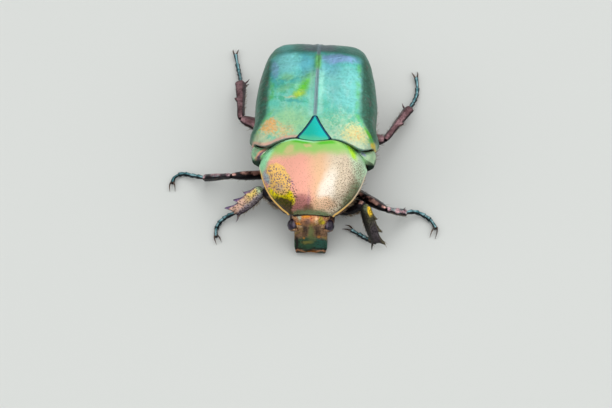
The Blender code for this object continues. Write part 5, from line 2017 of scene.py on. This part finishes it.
THIGH_PROFILE = (
    (0, 0.45), (0.07, 0.74), (0.25, 0.98), (0.5, 1), (0.75, 0.84), (0.92, 0.64), (1, 0.42),
)
BLADE_PROFILE = ((0, 0.5), (0.05, 0.72), (0.3, 1), (0.6, 1), (0.88, 0.76), (0.97, 0.64), (1, 0.5))
SHIN_PROFILE = ((0, 0.5), (0.05, 0.62), (0.3, 0.7), (0.6, 0.84), (0.88, 1), (0.97, 1), (1, 0.75))


@dataclass(frozen=True)
class LegBuild:
    """The sizes of one pair of legs. Teeth are shares of the tibia against lengths."""

    coxa: Point
    femur: tuple
    tibia: tuple
    profile: tuple
    teeth: tuple
    spurs: int
    drop: float


@dataclass(frozen=True)
class LegPose:
    """Where one leg stands, as points above the ground."""

    coxa: Point
    hip: Point
    knee: Point
    ankle: Point
    toes: tuple
    claws: Point


class Pair(Enum):
    """The three pairs of legs, with their sizes."""

    FORE = LegBuild(
        coxa=(0.95, 0.6, 0.55), femur=(0.62, 0.42), tibia=(0.58, 0.27), profile=BLADE_PROFILE,
        teeth=((0.4, 0.3), (0.7, 0.46), (0.97, 0.6)), spurs=1, drop=0.62,
    )
    MID = LegBuild(
        coxa=(1.2, 0.6, 0.5), femur=(0.6, 0.4), tibia=(0.37, 0.28), profile=SHIN_PROFILE,
        teeth=((0.52, 0.22),), spurs=2, drop=0.72,
    )
    HIND = LegBuild(
        coxa=(1.7, 0.7, 0.42), femur=(0.72, 0.42), tibia=(0.46, 0.3), profile=SHIN_PROFILE,
        teeth=((0.5, 0.24),), spurs=2, drop=0.81,
    )


@dataclass
class Leg:
    """One leg: coxa, femur, tibia with its teeth and spurs, and the foot with its claws."""

    pair: Pair
    side: Side
    pose: LegPose
    thigh_finish: Finish = LEGS
    shin_finish: Finish = LEGS
    foot_radius: float = 0.215
    claw_radius: float = 0.09

    @property
    def name(self) -> str:
        """The leg's name in node names."""
        return f"{self.pair.name.lower()}_{self.side.word}"

    def outward(self) -> Array:
        """The direction in which the outer edge of the tibia faces, away from the fold of the knee."""
        hip, knee, ankle = (np.array(p) for p in (self.pose.hip, self.pose.knee, self.pose.ankle))
        thigh, shin = unit(knee - hip), unit(ankle - knee)
        return unit(thigh - shin * np.dot(thigh, shin))

    def make(self, part: str, shape: Shape, finish: Finish, slot: str, node: str) -> None:
        """Makes one piece of the leg."""
        shape.make(f"{self.name}_{part}", GROUND, finish, slot, [f"{self.name}_{node}"])

    def fringe(self, coat: Coat, rings: Array, heading: Array, build: HairBuild, window: tuple) -> None:
        """Sets hairs along the two edges of a length of the leg, most of them on the inner edge.

        Args:
            coat: The leg's hairs.
            rings: The skin of that length.
            heading: Its direction.
            build: The hairs' size and number.
            window: Its part of the map.
        """
        angle = np.arange(rings.shape[1]) * 2 * math.pi / rings.shape[1]
        weight = 0.03 + np.clip(-np.cos(angle), 0, 1) ** 10 + 0.3 * np.clip(np.cos(angle), 0, 1) ** 10
        shares = np.linspace(0, 1, len(rings))
        within = step_between(0.05, 0.3, shares) * step_between(1, 0.93, shares)
        weight = weight[None, :] * within[:, None]
        weight = weight * step_between(0.3, -0.1, upward(rings)[..., 2])
        coat.grow(rings, weight, heading, build, window)

    def upper(self, coat: Coat) -> None:
        """Makes the coxa and the femur, and the femur's hairs.

        Args:
            coat: The leg's hairs.
        """
        build = self.pair.value
        hip, knee = np.array(self.pose.hip), np.array(self.pose.knee)
        along = hip - np.array(self.pose.coxa)
        shape = Shape()
        shape.add_tube(ball_rings(self.pose.coxa, build.coxa, along))
        self.make("hip_piece", shape, TRUNK, "under_bronze", "coxa")
        shares = np.linspace(0, 1, 60 // COARSE)
        sizes = smooth(THIGH_PROFILE, shares)
        path = hip + np.outer(shares, knee - hip)
        broad, thin = build.femur
        outer = self.outward()

        def section(angle: Array, place: float) -> tuple:
            """A flattened section with a blunt edge."""
            return 1 + 0.04 * np.cos(2 * angle), 1 - 0.06 * np.cos(4 * angle)

        shape = Shape()
        thick = np.minimum(sizes * 1.15, 1) * thin
        rings = tube_rings(path, outer, sizes * broad, thick, 48 // COARSE, section)
        shape.add_tube(rings)
        self.make("thigh", shape, self.thigh_finish, "leg_bronze", "femur")
        seed = 20 + 2 * self.side.value + 10 * len(self.pair.name)
        self.fringe(coat, rings, unit(knee - hip), HairBuild(90, 0.36, 0.7, seed), (0.02, 0.98, 0.02, 0.48))

    def shin(self, coat: Coat) -> None:
        """Makes the tibia, with teeth at its outer edge, ridges along it, spurs at its end, and hairs.

        Args:
            coat: The leg's hairs.
        """
        build = self.pair.value
        knee, ankle = np.array(self.pose.knee), np.array(self.pose.ankle)
        heading = unit(ankle - knee)
        length = np.linalg.norm(ankle - knee)
        outer = self.outward()
        side = np.cross(heading, outer)
        broad, thin = build.tibia
        shares = np.linspace(0, 1, 150 // COARSE)
        sizes = smooth(build.profile, shares)
        path = knee + np.outer(shares, ankle - knee)
        count = 56 // COARSE
        angle = turns(count)

        def section(angle: Array, place: float) -> tuple:
            """A section with ridges along it."""
            return 1 + 0.03 * np.cos(3 * angle), 1 + 0.09 * np.cos(4 * angle)

        rings = tube_rings(path, outer, sizes * broad, np.minimum(sizes * 1.2, 1) * thin, count, section)
        edge = np.clip(np.cos(angle), 0, 1) ** 4
        for place, tooth in build.teeth:
            before = (place - shares) * length
            reach = np.where(before > 0, 0.1 + 0.35 * tooth, 0.08)
            form = np.exp(-((before / reach) ** 2))
            push = tooth * (0.8 * outer + (0.4 + 0.4 * place) * heading)
            rings = rings + (form[:, None] * edge[None, :])[..., None] * push
        rough = pits(np.broadcast_to(angle[None, :] * broad, rings.shape[:2]) + 2,
                     np.broadcast_to(shares[:, None] * length, rings.shape[:2]), 0.17, 0.055, 0.65, 4)
        middle = path[:, None, :]
        rings = rings - unit(rings - middle) * (0.02 * rough)[..., None]
        seed = 21 + 2 * self.side.value + 10 * len(self.pair.name)
        self.fringe(coat, rings, heading, HairBuild(70, 0.28, 0.6, seed), (0.02, 0.98, 0.52, 0.98))
        shape = Shape()
        shape.add_tube(rings, rough)
        for i in range(build.spurs):
            sway = 0 if build.spurs == 1 else (i - 0.5) * 0.5
            root = knee + heading * length * 0.93 - outer * broad * 0.35 + side * sway * thin
            tip = ankle + heading * 0.45 - outer * (build.drop - 0.12 * i) + side * sway
            shape.add_tube(spike_rings(root, self.above(tip), 0.085, -outer * 0.05, 10, 10))
        for k in range(5):
            turn = (k - 2) * 0.7
            root = ankle - heading * 0.14 + outer * broad * 0.5 * math.cos(turn)
            root = root + side * thin * 0.6 * math.sin(turn)
            tip = root + heading * 0.24 + outer * 0.04 * math.cos(turn)
            shape.add_tube(spike_rings(root, self.above(tip), 0.03, (0, 0, 0), 6, 5))
        self.make("shin", shape, self.shin_finish, "leg_bronze", "tibia")

    def above(self, point: Array) -> Array:
        """The point, or one just above the ground if it is lower."""
        return np.array([point[0], point[1], max(point[2], 0.09)])

    def foot(self) -> None:
        """Makes the five segments of the foot, each widened to its end, the first four with spines there,
        and the two claws.
        """
        lengths = np.array([1.15, 0.85, 0.85, 0.85, 1.5])
        ends = np.concatenate([[0], np.cumsum(lengths)]) / lengths.sum()
        fine = even_path((self.pose.ankle, *self.pose.toes), 400)
        shape = Shape()
        for k in range(5):
            last = k == 4
            at = np.linspace(ends[k] - (0.02 if k else 0), ends[k + 1] - 0.004, 20)
            path = np.stack([np.interp(np.clip(at, 0, 1) * 399, np.arange(400), axis) for axis in fine.T], 1)
            grow = np.linspace(0, 1, 20)
            radii = self.foot_radius * (0.62 + 0.4 * grow ** 1.5 - (0.16 if last else 0) + 0.05 * last)
            radii[0] *= 0.6
            radii[-2:] *= (0.94, 0.7)
            rings = tube_rings(path, (0, 0, 1), radii, radii, 20)
            rings[..., 2] = np.maximum(rings[..., 2], 0)
            shape.add_tube(rings)
            heading = unit(path[-1] - path[-3])
            side = unit(np.cross(heading, (0, 0, 1)))
            for sign in (-1, 1):
                root = path[-3] + side * sign * radii[-4] * 0.7 - np.array([0, 0, radii[-4] * 0.3])
                tip = root + heading * 0.19 + side * sign * 0.05
                if not last:
                    shape.add_tube(spike_rings(root, self.above(tip), 0.03, (0, 0, 0), 6, 5))
        self.make("foot", shape, FEET, "leg_bronze", "tarsus")
        self.claws(fine)

    def claws(self, fine: Array) -> None:
        """Makes the pair of claws.

        Args:
            fine: The foot's middle line.
        """
        end = fine[-1]
        heading = unit(np.array(self.pose.claws) - end)
        length = np.linalg.norm(np.array(self.pose.claws) - end)
        side = unit(np.cross(heading, (0, 0, 1)))
        shape = Shape()
        for sign in (1, -1):
            root = end - heading * 0.12 + side * sign * 0.06 + np.array([0, 0, 0.02])
            tip = end + heading * length + side * sign * 0.22
            tip[2] = 0.03
            shares = np.linspace(0, 1, 18)
            bow = np.array([0, 0, 0.16]) + side * sign * 0.07
            arc = 4 * shares * (1 - shares) * (1.2 - 0.4 * shares)
            path = root + np.outer(shares, tip - root) + np.outer(arc, bow)
            radii = self.claw_radius * (1 - shares ** 1.3) + 0.012
            rings = tube_rings(path, (0, 0, 1), radii, radii * 0.8, 14)
            rings[..., 2] = np.maximum(rings[..., 2], 0)
            shape.add_tube(rings)
        self.make("claws", shape, CLAWS, "leg_bronze", "tarsus")

    def build(self) -> None:
        """Makes the leg's pieces."""
        coat = Coat(f"{self.name}_hairs")
        self.upper(coat)
        self.shin(coat)
        self.foot()
        coat.make(GROUND, "leg_bronze")


@dataclass
class Legs:
    """All six legs in their pose."""

    poses: tuple = (
        (Pair.FORE, Side.RIGHT, LegPose(
            (-1.12, -2.9, 1.1), (-1.8, -3.05, 1), (-4.05, -2.22, 2.3), (-6.3, -3.62, 0.85),
            ((-7.05, -3.75, 0.45), (-7.52, -4.15, 0.3), (-7.78, -4.91, 0.23), (-7.72, -5.61, 0.23)),
            (-7.46, -6.1, 0.08))),
        (Pair.FORE, Side.LEFT, LegPose(
            (1.12, -2.9, 1.1), (1.8, -3.05, 1), (4.16, -3.82, 2.6), (5.18, -6.29, 0.9),
            ((4.55, -5.7, 0.5), (4, -5.2, 0.3), (3.5, -4.84, 0.23), (3.1, -4.58, 0.23)),
            (2.5, -4.2, 0.08))),
        (Pair.MID, Side.RIGHT, LegPose(
            (-1.6, 0.5, 0.95), (-2.7, 0.35, 0.95), (-6.7, -1.2, 2.6), (-9.07, -0.08, 0.8),
            ((-10.23, 0.45, 0.4), (-11.2, 0.67, 0.25), (-11.72, 0.27, 0.23), (-11.82, -0.3, 0.23)),
            (-11.75, -1, 0.08))),
        (Pair.MID, Side.LEFT, LegPose(
            (1.65, 0, 0.95), (2.5, -0.75, 0.9), (5.93, -3.79, 2), (7.43, -3.27, 0.9),
            ((8.23, -2.85, 0.5), (9.05, -3.08, 0.28), (9.62, -3.62, 0.23), (9.93, -4.3, 0.23)),
            (9.68, -5.1, 0.08))),
        (Pair.HIND, Side.RIGHT, LegPose(
            (-1.9, 4, 1), (-2.6, 4.5, 1), (-6.42, 5.2, 2.1), (-6.89, 10.19, 0.9),
            ((-7.1, 11.3, 0.5), (-7.3, 12.2, 0.27), (-7.51, 13.15, 0.23), (-7.7, 14, 0.23)),
            (-7.73, 14.75, 0.08))),
        (Pair.HIND, Side.LEFT, LegPose(
            (1.9, 4, 1), (2.6, 4.2, 1), (5.65, 3.26, 2.1), (7.57, 7.64, 0.9),
            ((7.95, 8.75, 0.5), (8.17, 9.7, 0.27), (8.21, 10.78, 0.23), (8.1, 11.7, 0.23)),
            (7.93, 12.5, 0.08))),
    )

    def build(self) -> None:
        """Makes each leg."""
        shins = {(Pair.FORE, Side.RIGHT): BLADES, (Pair.FORE, Side.LEFT): OLIVE_BLADES}
        for pair, side, pose in self.poses:
            thigh, shin = (HIND_LEGS, HIND_LEGS) if pair is Pair.HIND else (LEGS, SHINS)
            Leg(pair, side, pose, thigh, shins.get((pair, side), shin)).build()


# The studio.


@dataclass(frozen=True)
class FloorFinish(Finish):
    """A plain pale floor."""

    colour: Rgb = (0.72, 0.73, 0.72)

    def paint(self, board: Board) -> None:
        """Paints the floor."""
        board.set(Base_Color=self.colour, Roughness=0.75)


@dataclass
class Studio:
    """A plain pale floor, soft lights and the camera at the photograph's viewing angle."""

    azimuth: float = 5.229
    elevation: float = 51.705
    roll: float = -2.921
    distance: float = 136.951
    aim: Point = (0, 0, 4)
    middle_px: tuple = (313.811, 155.412)
    image_px: tuple = (612, 408)
    focal_px: float = 1700.0
    sensor: float = 36.0
    lamps: tuple = (
        ("key_lamp", (0.27, -0.585, 0.765), 300, 380, 0.125),
        ("back_lamp", (0.35, 0.65, 0.68), 320, 200, 0.09),
        ("fill_lamp", (-0.89, -0.13, 0.44), 300, 240, 0.08),
    )
    sky_way: Point = (0.12, -0.05, 0.99)
    sky_low: float = 0.12
    sky_high: float = 0.5
    dark: Rgb = (0.13, 0.135, 0.135)
    bright: Rgb = (0.9, 0.92, 0.9)
    floor_radius: float = 0.9

    def camera(self) -> None:
        """Makes the camera, aimed at the point that the frame's middle shows."""
        a, e, r = (math.radians(v) for v in (self.azimuth, self.elevation, self.roll))
        back = np.array([math.sin(a) * math.cos(e), -math.cos(a) * math.cos(e), math.sin(e)])
        flat = unit(np.cross((0, 0, 1), back))
        rise = np.cross(back, flat)
        right = math.cos(r) * flat + math.sin(r) * rise
        up = -math.sin(r) * flat + math.cos(r) * rise
        where = np.array(self.aim) + back * self.distance + np.array(ROOT_SHIFT) / MM
        off_x = (self.image_px[0] / 2 - self.middle_px[0]) / self.focal_px
        off_y = -(self.image_px[1] / 2 - self.middle_px[1]) / self.focal_px
        z = -unit(off_x * right + off_y * up - back)
        y = unit(up - z * np.dot(up, z))
        x = np.cross(y, z)
        matrix = Matrix.Identity(4)
        for i, column in enumerate((x, y, z, where * MM)):
            for j in range(3):
                matrix[j][i] = column[j]
        data = bpy.data.cameras.new("view")
        data.sensor_width = self.sensor
        data.lens = self.focal_px / self.image_px[0] * self.sensor
        data.clip_start, data.clip_end = 0.005, 5
        made = bpy.data.objects.new("view", data)
        bpy.context.scene.collection.objects.link(made)
        made.matrix_world = matrix
        bpy.context.scene.camera = made

    def floor(self) -> None:
        """Makes the floor."""
        data = bpy.data.meshes.new("floor")
        angle = turns(64)
        points = np.stack([np.cos(angle), np.sin(angle), np.zeros(64)], 1) * self.floor_radius
        data.from_pydata(points.tolist(), [], [tuple(range(64))])
        data.materials.append(FloorFinish("pale_floor").material())
        made = bpy.data.objects.new("floor", data)
        bpy.context.scene.collection.objects.link(made)

    def light(self) -> None:
        """Makes the soft lamps."""
        for name, way, distance, size, power in self.lamps:
            data = bpy.data.lights.new(name, "AREA")
            data.shape = "DISK"
            data.size = size * MM
            data.energy = power
            made = bpy.data.objects.new(name, data)
            bpy.context.scene.collection.objects.link(made)
            made.location = Vector(way).normalized() * distance * MM
            made.rotation_euler = (-Vector(way)).to_track_quat("-Z", "Y").to_euler()

    def sky(self) -> None:
        """Makes the surround, bright above and behind the beetle and dim near the floor."""
        world = bpy.data.worlds.new("surround")
        bpy.context.scene.world = world
        board = Board(world, "Background")
        way = board.node("TexCoord", output="Generated")
        lift = board.node("VectorMath", {"operation": "DOT_PRODUCT"}, (way, self.sky_way), "Value")
        board.set(Color=board.mix(self.dark, self.bright, lift.rise(self.sky_low, self.sky_high)))

    def build(self) -> None:
        """Makes the floor, lamps and camera."""
        self.floor()
        self.light()
        self.sky()
        self.camera()
        bpy.context.scene.view_settings.view_transform = "Standard"


def main() -> None:
    """Builds the studio and the beetle, piece by piece."""
    logging.basicConfig(level=logging.INFO, format="%(message)s")
    Studio().build()
    case, shield = WingCases(), ShieldPlate()
    case.build()
    case.build_scutellum()
    shield.build()
    Trunk(case, shield).build()
    Head().build()
    Legs().build()
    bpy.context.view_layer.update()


if __name__ == "__main__":
    main()
